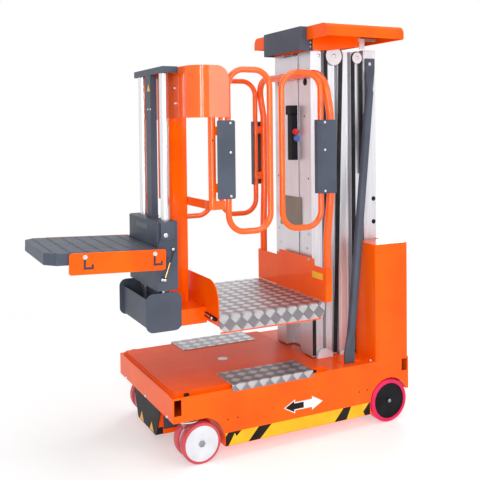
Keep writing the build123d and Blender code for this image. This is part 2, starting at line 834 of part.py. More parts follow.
def shield():
    """Sheet shield wrapped round the front of the platform."""
    half = shield_half_width
    front = shield_front_x
    band = prism("z", shield_low_z, shield_top_z, rectangle((front, shield_rear_x), (-half, half)),
                 [shield_radius, 0, 0, shield_radius])
    edge = half - shield_sheet
    radius = shield_radius - shield_sheet
    space = prism("z", shield_low_z - 1, shield_top_z + 1,
                  rectangle((front + shield_sheet, shield_rear_x + 1), (-edge, edge)), [radius, 0, 0, radius])
    side = rectangle((front - 1, shield_rear_x), (shield_low_z - 1, shield_top_z))
    trim = prism("y", -half - 1, half + 1, side, [0, 0, shield_corner, 0])
    return (band - space) & trim


def column():
    outer = block(column_x, (-column_half_width, column_half_width), (neck_top_z, column_top_z))
    edge = column_half_width - column_wall
    space = block((column_x[0] + column_wall, column_x[1] - column_wall), (-edge, edge),
                  (neck_top_z - 1, column_top_z - column_wall))
    return fillet(outer.edges().filter_by(Axis.Z), 5) - space


def gate(row):
    """Closed tube loop in the plane of the rail, built as a lower and an upper half."""
    middle_z = (row["low_z"] + row["high_z"]) / 2
    halves = []
    for level in (row["low_z"], row["high_z"]):
        points = [(row["hinge_x"], -gate_y, middle_z), (row["hinge_x"], -gate_y, level),
                  (row["latch_x"], -gate_y, level), (row["latch_x"], -gate_y, middle_z)]
        halves.append(tube(points, [gate_radius, gate_radius], gate_diameter))
    return fuse(halves)


def hinge_sleeves(row, cover):
    """Two sleeves round the gate's hinge tube, each on a bar from the post, with a cover's stand-off."""
    bore = gate_diameter / 2 + sleeve_clearance
    shapes = []
    hinge = (row["hinge_x"], -gate_y)
    post = (row["post_x"], -row["post_y"])
    for level in hinge_levels:
        top = level + sleeve_height
        outer = disc("z", hinge, bore + sleeve_wall, level, top)
        start, end = sorted((post[0], hinge[0]))
        bar = block((start, end), (-gate_y - hinge_bar / 2, -gate_y + hinge_bar / 2), (level, top))
        pad_x = (post[0] + hinge[0]) / 2
        pad = block((pad_x - hinge_bar, pad_x + hinge_bar), (-cover_y, -gate_y), (level + 5, top - 5))
        hole = disc("z", hinge, bore, level - 1, top + 1)
        seat = disc("z", post, row["post_radius"], level - 1, top + 1)
        shapes.append(outer + bar + pad - hole - seat)
    return shapes


def hinge_cover(limits, returned):
    """Folded plate over the hinge; the rear ones bend in ahead of the hinge tube."""
    plate = block(limits, (-cover_y - cover_sheet, -cover_y), (cover_low_z, cover_high_z))
    if not returned:
        return fillet(plate.edges().filter_by(Axis.Y), 8)
    outer_y = -cover_y - cover_sheet
    bend_x, bend_y = limits[0] - cover_bend, outer_y + cover_bend
    inset = cover_sheet * 0.42
    fold = prism("z", cover_low_z, cover_high_z, [
        (limits[0] + 1, outer_y), (limits[0], outer_y), (bend_x, bend_y), (bend_x, bend_y + cover_return),
        (bend_x + cover_sheet, bend_y + cover_return), (bend_x + cover_sheet, bend_y + inset),
        (limits[0] + inset, outer_y + cover_sheet), (limits[0] + 1 + inset, outer_y + cover_sheet),
    ])
    return plate + fold


def control_box():
    """Upper and lower housings of the operator's controls, on the mast's centre plate."""
    face = section_front_x - head_sheet
    head_z = box_top_z - box_head_height
    body = block((face - box_depth, face), box_body_y, (box_low_z, head_z))
    head = block((face - box_depth - box_head_depth, face), box_head_y, (head_z, box_top_z))
    return fillet(body.edges().filter_by(Axis.X), 5) + fillet(head.edges().filter_by(Axis.X), 5)


# Tray mast, carriage and tray


def tray_bracket():
    """Top bracket that ties the guides to the column."""
    low = bracket_top_z - bracket_flange
    outer = block(bracket_x, (-bracket_half_width, bracket_half_width), (low, bracket_top_z))
    edge = bracket_half_width - bracket_sheet
    space = block((bracket_x[0] + bracket_sheet, bracket_x[1] + 1), (-edge, edge),
                  (low - 1, bracket_top_z - bracket_sheet))
    return outer - space


def tray_trough():
    """Open-topped housing at the foot of the guides, between rounded end plates."""
    half = bracket_half_width
    plate = prism("y", half - trough_sheet, half, rectangle(end_plate_x, end_plate_z), end_plate_radius)
    plate = plate - block((column_x[0], end_plate_x[1] + 1), (half - trough_sheet - 1, half + 1),
                          (neck_bottom_z - 1, neck_top_z))
    edge = half - trough_sheet
    outer = block(trough_x, (-edge, edge), (trough_bottom_z, trough_top_z))
    space = block((trough_x[0] + trough_sheet, trough_x[1] - trough_sheet), (-edge - 1, edge + 1),
                  (trough_bottom_z + trough_sheet, trough_top_z + 1))
    return fuse([plate, mirrored(plate), outer - space])


def tray_channel():
    """C channel between the guides that houses the lifting screw."""
    low = trough_bottom_z + trough_sheet
    high = bracket_top_z - bracket_flange
    outer = block(channel_x, (-channel_half_width, channel_half_width), (low, high))
    edge = channel_half_width - channel_wall
    space = block((channel_x[0] + channel_wall, channel_x[1] + 1), (-edge, edge), (low - 1, high + 1))
    return outer - space


def tray_guides():
    low = trough_bottom_z + trough_sheet
    high = bracket_top_z - bracket_sheet
    return [disc("z", (guide_x, side * guide_y), guide_diameter / 2, low, high) for side in (-1, 1)]


def carriage():
    """Folded front and sides with guide blocks that run on the two tubes."""
    half = carriage_half_width
    outer = block(carriage_x, (-half, half), carriage_z)
    edge = half - carriage_sheet
    space = block((carriage_x[0] + carriage_sheet, carriage_x[1] + 1), (-edge, edge),
                  (carriage_z[0] - 1, carriage_z[1] - carriage_sheet))
    shell = fillet(outer.edges().filter_by(Axis.Z).sort_by(Axis.X)[:2], 5) - space
    bore = guide_diameter / 2 + guide_clearance
    for side in (-1, 1):
        for level in (carriage_z[0] + 20, carriage_z[1] - carriage_sheet - guide_block_height):
            y = sorted((side * (guide_y - guide_block / 2), side * (half - 1)))
            x = (carriage_x[0] + 1, guide_x + guide_block / 2)
            shell = shell + block(x, y, (level, level + guide_block_height))
        shell = shell - disc("z", (guide_x, side * guide_y), bore, carriage_z[0] - 1, carriage_z[1] + 1)
    reach = channel_half_width + side_clearance
    channel = block((channel_x[0] - side_clearance, carriage_x[1] + 1), (-reach, reach),
                    (carriage_z[1] - 2 * carriage_sheet, carriage_z[1] + 1))
    return shell - channel


def carriage_cheek():
    """Cheek plate, pivot pin and strut boss on the carriage's side."""
    face = -carriage_half_width
    plate = prism("y", -cheek_plate_y - carriage_sheet, -cheek_plate_y, [
        (17, pivot[1] - 22), (carriage_x[1] - 20, pivot[1] - 22), (carriage_x[1] - 20, carriage_z[1]),
        (17, carriage_z[1]),
    ], [18, 18, 4, 4])
    spacer = block((17, carriage_x[1] - 20), (-cheek_plate_y, face), (carriage_z[1] - 14, carriage_z[1]))
    pin = disc("y", pivot, pivot_radius, -cheek_plate_y - carriage_sheet - 4, face)
    boss = disc("y", strut_foot, 7, -cheek_plate_y, face)
    return fuse([plate, spacer, pin, boss])


def tray_strut():
    """Small gas strut beside the tray's lever."""
    y = -cheek_plate_y - strut_diameter / 2
    foot = Vector(strut_foot[0], y, strut_foot[1])
    head = Vector(strut_head[0], y, strut_head[1])
    along = (head - foot).normalized()
    middle = foot + (head - foot) * 0.55
    barrel = rod(tuple(foot), tuple(middle), strut_diameter)
    stem = rod(tuple(middle - along), tuple(head), strut_diameter * 0.5)
    edges = (y - strut_diameter / 2, y + strut_diameter / 2)
    eyes = [disc("y", (point.X, point.Z), 7, *edges) for point in (foot, head)]
    return fuse([barrel, stem] + eyes)


def tilted(shape):
    return shape.rotate(Axis((tray_rear_x, 0, tray_top_z), (0, 1, 0)), tray_tilt)


def tray_deck():
    """Pressed tray with a skirt all round, cropped outer corners and shallow cross ribs."""
    def plan(inset):
        tip = tray_rear_x - tray_length + inset
        half = tray_half_width - inset
        crop = tray_chamfer - inset * 0.6
        rear = tray_rear_x - inset
        return [(rear, -half), (rear, half), (tip + crop, half), (tip, half - crop), (tip, -half + crop),
                (tip + crop, -half)]
    outer = prism("z", tray_top_z - tray_depth, tray_top_z, plan(0))
    space = prism("z", tray_top_z - tray_depth - 1, tray_top_z - tray_sheet, plan(tray_sheet))
    deck = outer - space
    pitch = (tray_length - 2 * tray_chamfer) / (rib_count - 1)
    half = tray_half_width - 20
    rib_z = (tray_top_z - 1, tray_top_z + rib_height)
    for index in range(rib_count):
        x = tray_rear_x - tray_chamfer - index * pitch
        deck = deck + block((x - rib_width / 2, x + rib_width / 2), (-half, half), rib_z)
    low = tray_top_z - tray_depth
    backing = block((side_plate_x[0] + 12, tray_rear_x - 3 * tray_sheet),
                    (tray_half_width - tray_sheet, tray_half_width), (low - slot_backing, low + 1))
    deck = fuse([deck, backing, mirrored(backing)])
    notch = block((tray_rear_x - tray_sheet - 2, tray_rear_x + 1),
                  (arm_inner_y - 0.5, arm_inner_y + arm_sheet + 0.5), (low - 1, tray_top_z - tray_sheet))
    deck = deck - pair(notch)
    return tilted(deck)


def tray_arm():
    """Plate that hangs the tray from the carriage's pivot, with a lever for the strut."""
    low = tray_top_z - tray_depth + 4
    under = tray_top_z - tray_sheet
    outline = [
        (arm_front_x, low), (60, low), (strut_head[0] + 12, strut_head[1]),
        (pivot[0] + 24, pivot[1] + 6), (pivot[0], pivot[1] + 24), (pivot[0] - 22, pivot[1]),
        (tray_rear_x + 3, tray_top_z - 10), (-60, under + 1.5), (arm_front_x, under + 4.5),
    ]
    plate = prism("y", -arm_inner_y - arm_sheet, -arm_inner_y, outline, [6, 6, 10, 12, 16, 12, 0, 0, 0])
    hole = disc("y", pivot, pivot_radius + running_clearance, -arm_inner_y - arm_sheet - 1, -arm_inner_y + 1)
    lever_pin = disc("y", strut_head, 5, -cheek_plate_y + 0.5, -arm_inner_y)
    return plate - hole + lever_pin


def side_plate():
    """Drop side that hangs on two bolts in J slots, so it can be lifted and hooked as a rim."""
    x0, x1 = side_plate_x
    y0 = -side_plate_y - side_plate_sheet
    outline = rectangle((x0, x1), (tray_top_z - side_plate_height, tray_top_z))
    plate = prism("y", y0, -side_plate_y, outline, 12)
    half = slot_width / 2
    for station in bolt_stations:
        top = tray_top_z - bolt_drop
        low = top - slot_drop
        hook = station + slot_hook
        for x, z in (((station - half, station + half), (low - half, top + half)),
                     ((station - half, hook + half), (low - half, low + half)),
                     ((hook - half, hook + half), (low - half, low + slot_rise))):
            plate = plate - block(x, (y0 - 1, -side_plate_y + 1), z)
    return tilted(plate)


def tray_bolts():
    bolts = []
    outer_y = -side_plate_y - side_plate_sheet
    for station in bolt_stations:
        z = tray_top_z - bolt_drop
        shank = disc("y", (station, z), slot_width / 2 - 1, outer_y - 1, -tray_half_width)
        head = disc("y", (station, z), bolt_head_radius, outer_y - bolt_head, outer_y)
        bolts.append(tilted(shank + head))
    return bolts


# Assembly

add("chassis_hull", hull())
add("brace_brackets", pair(brace_bracket()))
add("deck_lid", deck_lid())
add("side_steps", pair(side_step()))
add("front_guard", front_guard())
add("beam_plates", pair(beam_plate()))
add("battery_pack", block(battery_x, (-battery_half_width, battery_half_width),
                          (panel_bottom_z + hull_sheet, battery_top_z)))
add("drive_units", pair(drive_unit()))
add("tower", tower())
add("mast_section_fixed", mast_section(section_count - 1))
add("mast_braces", pair(brace()))
add("hose_guides", hose_guides())

fork = caster_fork()
hubs, tyres = caster_wheel()
wheel, tyre = drive_wheel()
for side_name, flip in (("far", False), ("near", True)):
    turn = mirrored if flip else (lambda shape: shape)
    add("caster_fork_" + side_name, turn(fork))
    add("caster_hubs_" + side_name, turn(hubs))
    add("caster_tyres_" + side_name, [turn(shape) for shape in tyres])
    add("drive_wheel_" + side_name, turn(wheel))
    add("drive_tyre_" + side_name, turn(tyre))

for stage in (3, 2, 1):
    add("mast_section_" + str(stage), mast_section(stage))

add("hoses_1", hose_loop(hose_one_x, hose_one_low_z, hose_one_lean_x, sheave_z),
    clamp(hose_one_x[0], hose_one_low_z[0] + hose_clamp[1]))
add("sheave_1", sheave(1, hose_one_x, sheave_z))
add("hoses_3", hose_loop(hose_three_x, hose_three_low_z, hose_three_x[1], sheave_z - 6),
    clamp(hose_three_x[0], hose_three_low_z[0] + hose_clamp[1]))
add("sheave_3", sheave(3, hose_three_x, sheave_z - 6))
tail = block(hose_tail_x, (-hose_high_y, -hose_low_y), hose_tail_z)
tail_clamp = clamp(section_front_x + hose_clamp[0] / 2, hose_tail_z[1] - hose_clamp[1])
add("hose_platform", tail + tail_clamp)

cover_plate = block((section_front_x - head_sheet, section_front_x), cover_plate_y,
                    (cover_plate_low_z, head_bottom_z - 12))
add("mast_section_platform", mast_section(0) + cover_plate)
add("head_cover", head_cover())
add("head_frame", head_frame())
add("roof_wing", roof())
add("platform_tread", platform_tread())
add("platform_frame", platform_frame())
add("kick_plate_rear", rear_kick_plate())
add("kick_plate_front", front_kick_plate())
add("handrail", handrail())
add("guard_frame", guard_frame())
add("guard_shield", shield())
add("tray_column", column())
sleeves = []
covers = []
for end, row in gate_table.items():
    sleeves += hinge_sleeves(row, cover_table[end])
    covers.append(hinge_cover(cover_table[end], end == "rear"))
add("gate_hinges", sleeves, [mirrored(shape) for shape in sleeves])
add("hinge_covers", covers, [mirrored(shape) for shape in covers])
for end, row in gate_table.items():
    loop = gate(row)
    add("gate_" + end + "_near", loop)
    add("gate_" + end + "_far", mirrored(loop))
add("control_box", control_box())

add("tray_guides", tray_guides())
add("tray_channel", tray_channel())
add("tray_bracket", tray_bracket())
add("tray_trough", tray_trough())
add("tray_carriage", carriage())
add("carriage_cheeks", pair(carriage_cheek()))
add("tray_struts", pair(tray_strut()))
add("tray_deck", tray_deck())
add("tray_arms", pair(tray_arm()))
add("tray_side_plates", pair(side_plate()))
add("tray_bolts", tray_bolts(), [mirrored(shape) for shape in tray_bolts()])


def write_all():
    """Centre the model on x over its whole length and write one file per piece."""
    boxes = [piece.bounding_box() for solids in nodes.values() for piece in solids]
    low_x = min(box.min.X for box in boxes)
    high_x = max(box.max.X for box in boxes)
    shift = Location((-(low_x + high_x) / 2, 0, 0))
    os.makedirs("parts", exist_ok=True)
    for name, solids in nodes.items():
        moved = [piece.moved(shift) for piece in solids]
        whole = moved[0] if len(moved) == 1 else Compound(moved)
        export_step(whole, os.path.join("parts", name + ".step"))
    print("x shift", round(shift.position.X, 3))


write_all()
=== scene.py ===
# Looks of a vertical mast lift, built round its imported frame. Metres, +Z up, the near side is -Y.
import json
import math

import bmesh
import bpy
import numpy as np
from mathutils import Matrix, Vector


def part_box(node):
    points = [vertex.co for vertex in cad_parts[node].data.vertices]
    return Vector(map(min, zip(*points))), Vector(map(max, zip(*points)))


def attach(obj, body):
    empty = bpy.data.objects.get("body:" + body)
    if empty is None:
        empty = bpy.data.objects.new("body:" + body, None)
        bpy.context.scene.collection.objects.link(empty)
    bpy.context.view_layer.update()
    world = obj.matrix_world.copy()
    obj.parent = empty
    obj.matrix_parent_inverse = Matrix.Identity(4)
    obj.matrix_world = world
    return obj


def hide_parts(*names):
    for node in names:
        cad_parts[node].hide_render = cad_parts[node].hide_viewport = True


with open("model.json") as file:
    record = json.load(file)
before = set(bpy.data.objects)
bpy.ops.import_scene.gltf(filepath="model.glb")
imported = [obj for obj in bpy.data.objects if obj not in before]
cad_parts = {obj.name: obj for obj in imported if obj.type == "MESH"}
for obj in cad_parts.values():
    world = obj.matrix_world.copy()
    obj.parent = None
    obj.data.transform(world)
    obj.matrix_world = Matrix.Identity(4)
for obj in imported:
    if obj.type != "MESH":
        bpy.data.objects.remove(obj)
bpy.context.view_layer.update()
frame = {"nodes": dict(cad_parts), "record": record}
mm = 0.001
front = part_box("chassis_hull")[0].x  # the front bumper, where stations along x start
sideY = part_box("chassis_hull")[1].y  # half width of the hull


# a point from a station behind the bumper, a distance from the middle and a height, all in millimetres
def at(station, across, height):
    return np.array([front + station * mm, across * mm, height * mm])


# Camera, lamps and floor

shot = {
    "place": (-1.5135, -3.3301, 1.48275),
    "azimuth": -26.379,
    "pitch": 1.729,
    "roll": -0.655,
    "lens": 55.337,
    "sensor": 36,
    "shiftY": -0.18727,
}
light = {
    "world": 0.5,
    "background": 1.0,
    "target": (0.1, 0.0, 0.9),
    "lamps": {
        "key": {"place": (1.8, -4.6, 2.6), "size": (1.4, 2.4), "watts": 42},
        "wideStrip": {"place": (-2.0, -3.4, 1.75), "size": (0.34, 2.3), "watts": 42},
        "narrowStrip": {"place": (-1.36, -3.75, 1.75), "size": (0.2, 2.3), "watts": 26},
        "top": {"place": (0.2, -0.6, 5.0), "size": (3.0, 3.0), "watts": 62},
        "rear": {"place": (3.6, 3.4, 2.6), "size": (2.0, 2.4), "watts": 70},
    },
}


# the camera's turn about the vertical, then its tip down from level, then its roll about its own view
def makeCamera():
    data = bpy.data.cameras.new("camera")
    data.lens = shot["lens"]
    data.sensor_width = shot["sensor"]
    data.shift_y = shot["shiftY"]
    camera = bpy.data.objects.new("camera", data)
    bpy.context.scene.collection.objects.link(camera)
    turn = Matrix.Rotation(math.radians(shot["azimuth"]), 4, "Z")
    tip = Matrix.Rotation(math.radians(90 - shot["pitch"]), 4, "X")
    roll = Matrix.Rotation(math.radians(shot["roll"]), 4, "Z")
    camera.matrix_world = Matrix.Translation(shot["place"]) @ turn @ tip @ roll
    bpy.context.scene.camera = camera


makeCamera()


# One shader socket with its sums: an expression on it adds the nodes that work it out.
class Flow:
    def __init__(self, tree, socket=None):
        self.tree = tree
        self.socket = socket

    # any node: its settings first, then the values or links of its inputs, and one output comes back
    def node(self, kind, settings=None, inputs=None, output=0):
        made = self.tree.nodes.new(kind)
        for key, value in (settings or {}).items():
            if key == "stops":
                ramp = made.color_ramp
                while len(ramp.elements) < len(value):
                    ramp.elements.new(0.5)
                for element, (place, colour) in zip(ramp.elements, value):
                    element.position = place
                    element.color = (*colour, 1.0)
            else:
                setattr(made, key, value)
        for key, value in (inputs or {}).items():
            if isinstance(value, Flow):
                self.tree.links.new(value.socket, made.inputs[key])
            else:
                made.inputs[key].default_value = value
        return Flow(self.tree, made.outputs[output])

    def maths(self, operation, *values):
        return self.node("ShaderNodeMath", {"operation": operation}, dict(enumerate(values)))

    def __add__(self, other):
        return self.maths("ADD", self, other)

    __radd__ = __add__

    def __sub__(self, other):
        return self.maths("SUBTRACT", self, other)

    def __rsub__(self, other):
        return self.maths("SUBTRACT", other, self)

    def __mul__(self, other):
        return self.maths("MULTIPLY", self, other)

    __rmul__ = __mul__

    def __truediv__(self, other):
        return self.maths("DIVIDE", self, other)

    def __rtruediv__(self, other):
        return self.maths("DIVIDE", other, self)

    def __mod__(self, other):
        return self.maths("FLOORED_MODULO", self, other)

    def __abs__(self):
        return self.maths("ABSOLUTE", self)

    def __gt__(self, other):
        return self.maths("GREATER_THAN", self, other)

    def __lt__(self, other):
        return self.maths("LESS_THAN", self, other)

    def floor(self):
        return self.maths("FLOOR", self)

    # 0 below low, 1 above high, with a soft step between them
    def rise(self, low, high):
        inputs = {"Value": self, "From Min": low, "From Max": high}
        return self.node("ShaderNodeMapRange", {"interpolation_type": "SMOOTHSTEP"}, inputs)

    def clamp(self):
        return self.node("ShaderNodeClamp", None, {"Value": self})

    # colour a where self is 0 and colour b where it is 1
    def tint(self, a, b):
        colours = [c if isinstance(c, Flow) else (*c, 1.0) for c in (a, b)]
        return self.node("ShaderNodeMix", {"data_type": "RGBA"}, {0: self, 6: colours[0], 7: colours[1]}, 2)


# Object coordinates as three flows
def coordinates(flow):
    place = flow.node("ShaderNodeTexCoord", output=3)
    return place, [flow.node("ShaderNodeSeparateXYZ", None, {0: place}, axis) for axis in range(3)]


# noise read at the place times a stretch along each axis
def noise(flow, place, scale, detail=3.0, stretch=(1, 1, 1)):
    moved = flow.node("ShaderNodeVectorMath", {"operation": "MULTIPLY"}, {0: place, 1: stretch})
    return flow.node("ShaderNodeTexNoise", None, {"Vector": moved, "Scale": scale, "Detail": detail})


finishes = {}


# Makes a material: constants go on the shader's own sockets, and what shape() gives back is linked
def finish(name, constants, shape):
    material = bpy.data.materials.new(name)
    material.use_nodes = True
    tree = material.node_tree
    shader = tree.nodes["Principled BSDF"]
    for key, value in constants.items():
        shader.inputs[key].default_value = (*value, 1.0) if isinstance(value, tuple) else value
    flow = Flow(tree)
    for key, value in shape(flow).items():
        tree.links.new(value.socket, shader.inputs[key])
    finishes[name] = material


# a normal tilted by the slope of a height
def bump(flow, height, strength, distance):
    return flow.node("ShaderNodeBump", None, {"Strength": strength, "Distance": distance, "Height": height})


paints = {
    "orangePaint": {"dark": (0.97, 0.096, 0.0), "light": (1.0, 0.122, 0.0), "roughness": (0.26, 0.36),
                    "grain": 0.06, "coat": 0.25, "gloss": 0.08},
    "glossOrange": {"dark": (0.97, 0.096, 0.0), "light": (1.0, 0.122, 0.0), "roughness": (0.26, 0.36),
                    "grain": 0.03, "coat": 0.95, "gloss": 0.12},
    "deckOrange": {"dark": (0.93, 0.08, 0.0), "light": (0.97, 0.1, 0.0), "roughness": (0.3, 0.4),
                   "grain": 0.04, "coat": 0.0, "gloss": 0.1},
    "anthracitePaint": {"dark": (0.056, 0.068, 0.096), "light": (0.072, 0.086, 0.12),
                        "roughness": (0.42, 0.54), "grain": 0.14, "coat": 0.0, "gloss": 0.3},
    "blackPaint": {"dark": (0.01, 0.01, 0.012), "light": (0.018, 0.018, 0.021), "roughness": (0.4, 0.55),
                   "grain": 0.12, "coat": 0.0, "gloss": 0.12},
    "olivePanel": {"dark": (0.2, 0.185, 0.15), "light": (0.24, 0.22, 0.18), "roughness": (0.35, 0.45),
                   "grain": 0.05, "coat": 0.0, "gloss": 0.3},
    "slateLabel": {"dark": (0.1, 0.118, 0.15), "light": (0.115, 0.135, 0.17), "roughness": (0.4, 0.5),
                   "grain": 0.05, "coat": 0.0, "gloss": 0.3},
}
powder = {
    "cloud": 5.0,  # noise scales: the clouded shade, the patches of roughness and the orange peel
    "patch": 26.0,
    "peel": 420.0,
    "edges": (0.35, 0.65),  # where the cloud's soft step starts and ends
    "depth": 0.0004,
    "coatRoughness": 0.07,
}


# Powder coat: two close shades clouded together, roughness in patches, fine orange peel in the normal
def paint(name, look):
    def shape(flow):
        place, _ = coordinates(flow)
        cloud = noise(flow, place, powder["cloud"]).rise(*powder["edges"])
        peel = noise(flow, place, powder["peel"], 1.0)
        low, high = look["roughness"]
        return {
            "Base Color": cloud.tint(look["dark"], look["light"]),
            "Roughness": noise(flow, place, powder["patch"]) * (high - low) + low,
            "Normal": bump(flow, peel, look["grain"], powder["depth"]),
        }
    finish(name, {"Coat Weight": look["coat"], "Coat Roughness": powder["coatRoughness"],
                  "Specular IOR Level": look["gloss"]}, shape)


metals = {
    "anodised": {"dark": (0.62, 0.62, 0.66), "light": (0.78, 0.78, 0.82), "roughness": 0.34, "metallic": 0.64,
                 "drawn": (60, 60, 0.6)},
    "zinc": {"dark": (0.5, 0.5, 0.5), "light": (0.72, 0.72, 0.7), "roughness": 0.34, "metallic": 1.0,
             "drawn": (9, 9, 9)},
    "darkSteel": {"dark": (0.24, 0.26, 0.3), "light": (0.34, 0.36, 0.4), "roughness": 0.3, "metallic": 1.0,
                  "drawn": (9, 9, 9)},
    "brass": {"dark": (0.5, 0.36, 0.18), "light": (0.7, 0.52, 0.28), "roughness": 0.3, "metallic": 1.0,
              "drawn": (20, 20, 2)},
    "chromed": {"dark": (0.72, 0.72, 0.76), "light": (0.88, 0.88, 0.9), "roughness": 0.2, "metallic": 0.9,
                "drawn": (40, 40, 0.5)},
}
drawing = {
    "scale": 9.0,
    "detail": 4.0,
    "edges": (0.25, 0.75),
    "spread": 0.16,  # how far the lines move the roughness, and how far below its middle they start
    "below": 0.06,
    "grain": 0.06,
    "depth": 0.0003,
}


# Bare metal with drawing lines: noise stretched along the piece moves shade, roughness and normal together
def metal(name, look):
    def shape(flow):
        place, _ = coordinates(flow)
        lines = noise(flow, place, drawing["scale"], drawing["detail"], look["drawn"])
        return {
            "Base Color": lines.rise(*drawing["edges"]).tint(look["dark"], look["light"]),
            "Roughness": lines * drawing["spread"] + (look["roughness"] - drawing["below"]),
            "Normal": bump(flow, lines, drawing["grain"], drawing["depth"]),
        }
    finish(name, {"Metallic": look["metallic"]}, shape)


plastics = {
    "blackPlastic": {"dark": (0.006, 0.006, 0.008), "light": (0.012, 0.012, 0.015), "roughness": 0.42,
                     "gloss": 0.1},
    "redPlastic": {"dark": (0.5, 0.008, 0.01), "light": (0.62, 0.012, 0.014), "roughness": 0.22},
    "bluePlastic": {"dark": (0.06, 0.13, 0.4), "light": (0.1, 0.2, 0.52), "roughness": 0.3},
    "whitePlastic": {"dark": (0.64, 0.66, 0.7), "light": (0.72, 0.74, 0.78), "roughness": 0.34},
    "hoseRubber": {"dark": (0.01, 0.01, 0.012), "light": (0.022, 0.022, 0.025), "roughness": 0.5,
                   "gloss": 0.15},
    "frontTyre": {"dark": (0.5, 0.052, 0.072), "light": (0.62, 0.08, 0.1), "roughness": 0.36},
    "rearTyre": {"dark": (0.7, 0.008, 0.085), "light": (0.8, 0.014, 0.11), "roughness": 0.36},
    "yellowFilm": {"dark": (0.9, 0.42, 0.004), "light": (0.98, 0.5, 0.01), "roughness": 0.32},
    "blackFilm": {"dark": (0.012, 0.01, 0.008), "light": (0.022, 0.018, 0.014), "roughness": 0.3,
                  "gloss": 0.1},
    "whiteFilm": {"dark": (0.78, 0.78, 0.8), "light": (0.88, 0.88, 0.88), "roughness": 0.3},
}
mould = {
    "cloud": 14.0,
    "grain": 700.0,
    "edges": (0.3, 0.7),
    "spread": 0.12,
    "below": 0.06,
    "bump": 0.1,
    "depth": 0.0003,
    "gloss": 0.3,  # where a plastic names none of its own
}


# Moulded plastic, rubber or film: a slight cloud of two shades and a fine grain
def moulded(name, look):
    def shape(flow):
        place, _ = coordinates(flow)
        cloud = noise(flow, place, mould["cloud"])
        grain = noise(flow, place, mould["grain"], 1.0)
        return {
            "Base Color": cloud.rise(*mould["edges"]).tint(look["dark"], look["light"]),
            "Roughness": cloud * mould["spread"] + (look["roughness"] - mould["below"]),
            "Normal": bump(flow, grain, mould["bump"], mould["depth"]),
        }
    finish(name, {"Specular IOR Level": look.get("gloss", mould["gloss"])}, shape)


tread = {
    "cell": 0.042,  # side of one square of bars
    "bars": 5,
    "barWidth": 0.34,  # share of the bar pitch that stands up
    "barFoot": 1.15,  # how much wider its soft edge reaches
    "barLength": 0.42,  # half length of a bar as a share of the square
    "barEnd": 0.48,
    "height": 0.0014,
    "steepness": 0.9,
    "grain": 160.0,
    "metallic": 0.85,
    # painted shade: the dark colour of the ground between the bars
    "valleyShade": (0.115, 0.1, 0.118),
    "crest": (0.92, 0.92, 0.94),
    "awayShade": 0.3,  # painted shade: how bright the squares turned away from the light are painted beside the others
}


# Bar tread: squares set at 45 degrees, each with five bars, turned a quarter from its neighbours.
# The squares are laid over x and y on top, and over x and z on the turned-down sides. Painted shade in the
# base colour darkens the ground between the bars and the squares turned away from the light, so the bars read
# as lit lozenges.
def barTread():
    def shape(flow):
        place, (x, y, z) = coordinates(flow)
        normal = flow.node("ShaderNodeTexCoord", output=1)
        up = abs(flow.node("ShaderNodeSeparateXYZ", None, {0: normal}, 2)) > 0.5
        across = y * up + z * (1 - up)
        side = tread["cell"] * math.sqrt(2)
        a = (x + across) / side
        b = (x - across) / side
        odd = (a.floor() + b.floor()) % 2
        u = a % 1.0
        v = b % 1.0
        over = u * odd + v * (1 - odd)
        along = v * odd + u * (1 - odd)
        wave = abs((over * tread["bars"]) % 1.0 - 0.5)
        width = 1 - wave.rise(tread["barWidth"] * 0.5, tread["barWidth"] * tread["barFoot"])
        ends = 1 - abs(along - 0.5).rise(tread["barLength"], tread["barEnd"])
        raised = width * ends
        grain = noise(flow, place, tread["grain"])
        # painted shade: the crest colour is dimmed on the squares turned away from the light, and the ground
        # between bars gets the dark colour; the grain is a random tone
        paintedLightAndGrain = raised * (0.75 + grain * 0.5) * (tread["awayShade"] + odd * (1 - tread["awayShade"]))
        return {
            "Base Color": paintedLightAndGrain.clamp().tint(tread["valleyShade"], tread["crest"]),
            "Roughness": 0.5 - raised * 0.22 + grain * 0.08,
            "Normal": bump(flow, raised + grain * 0.04, tread["steepness"], tread["height"]),
        }
    finish("barTread", {"Metallic": tread["metallic"]}, shape)


for paintName, paintLook in paints.items():
    paint(paintName, paintLook)
for metalName, metalLook in metals.items():
    metal(metalName, metalLook)
for plasticName, plasticLook in plastics.items():
    moulded(plasticName, plasticLook)
barTread()
print("finishes:", len(finishes))


# Mesh helpers

# the object for a mesh, with its finish and body; edges past the smooth angle stay sharp
def piece(name, mesh, finishName, body, smooth=40):
    made = bpy.data.objects.new(name, mesh)
    bpy.context.scene.collection.objects.link(made)
    mesh.materials.clear()
    mesh.materials.append(finishes[finishName])
    if smooth:
        mesh.shade_smooth()
        mesh.set_sharp_from_angle(angle=math.radians(smooth))
    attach(made, body)
    return made


# one mesh from a list of (points, faces) pairs, the faces renumbered as the points are stacked
def joined(name, shapes):
    counts = np.cumsum([0] + [len(points) for points, _ in shapes])
    points = np.concatenate([shape[0] for shape in shapes])
    faces = []
    for (_, group), start in zip(shapes, counts):
        faces += [(np.asarray(face) + start).tolist() for face in group]
    mesh = bpy.data.meshes.new(name)
    mesh.from_pydata(points.tolist(), [], faces)
    mesh.update()
    return mesh


# Quads between neighbouring points of a grid of rows x columns, each row closed to a ring
def ringFaces(rows, columns):
    numbers = np.arange(rows * columns).reshape(rows, columns)
    numbers = np.concatenate([numbers, numbers[:, :1]], axis=1)
    around = [numbers[:-1, :-1], numbers[:-1, 1:], numbers[1:, 1:], numbers[1:, :-1]]
    return np.stack(around, axis=-1).reshape(-1, 4)


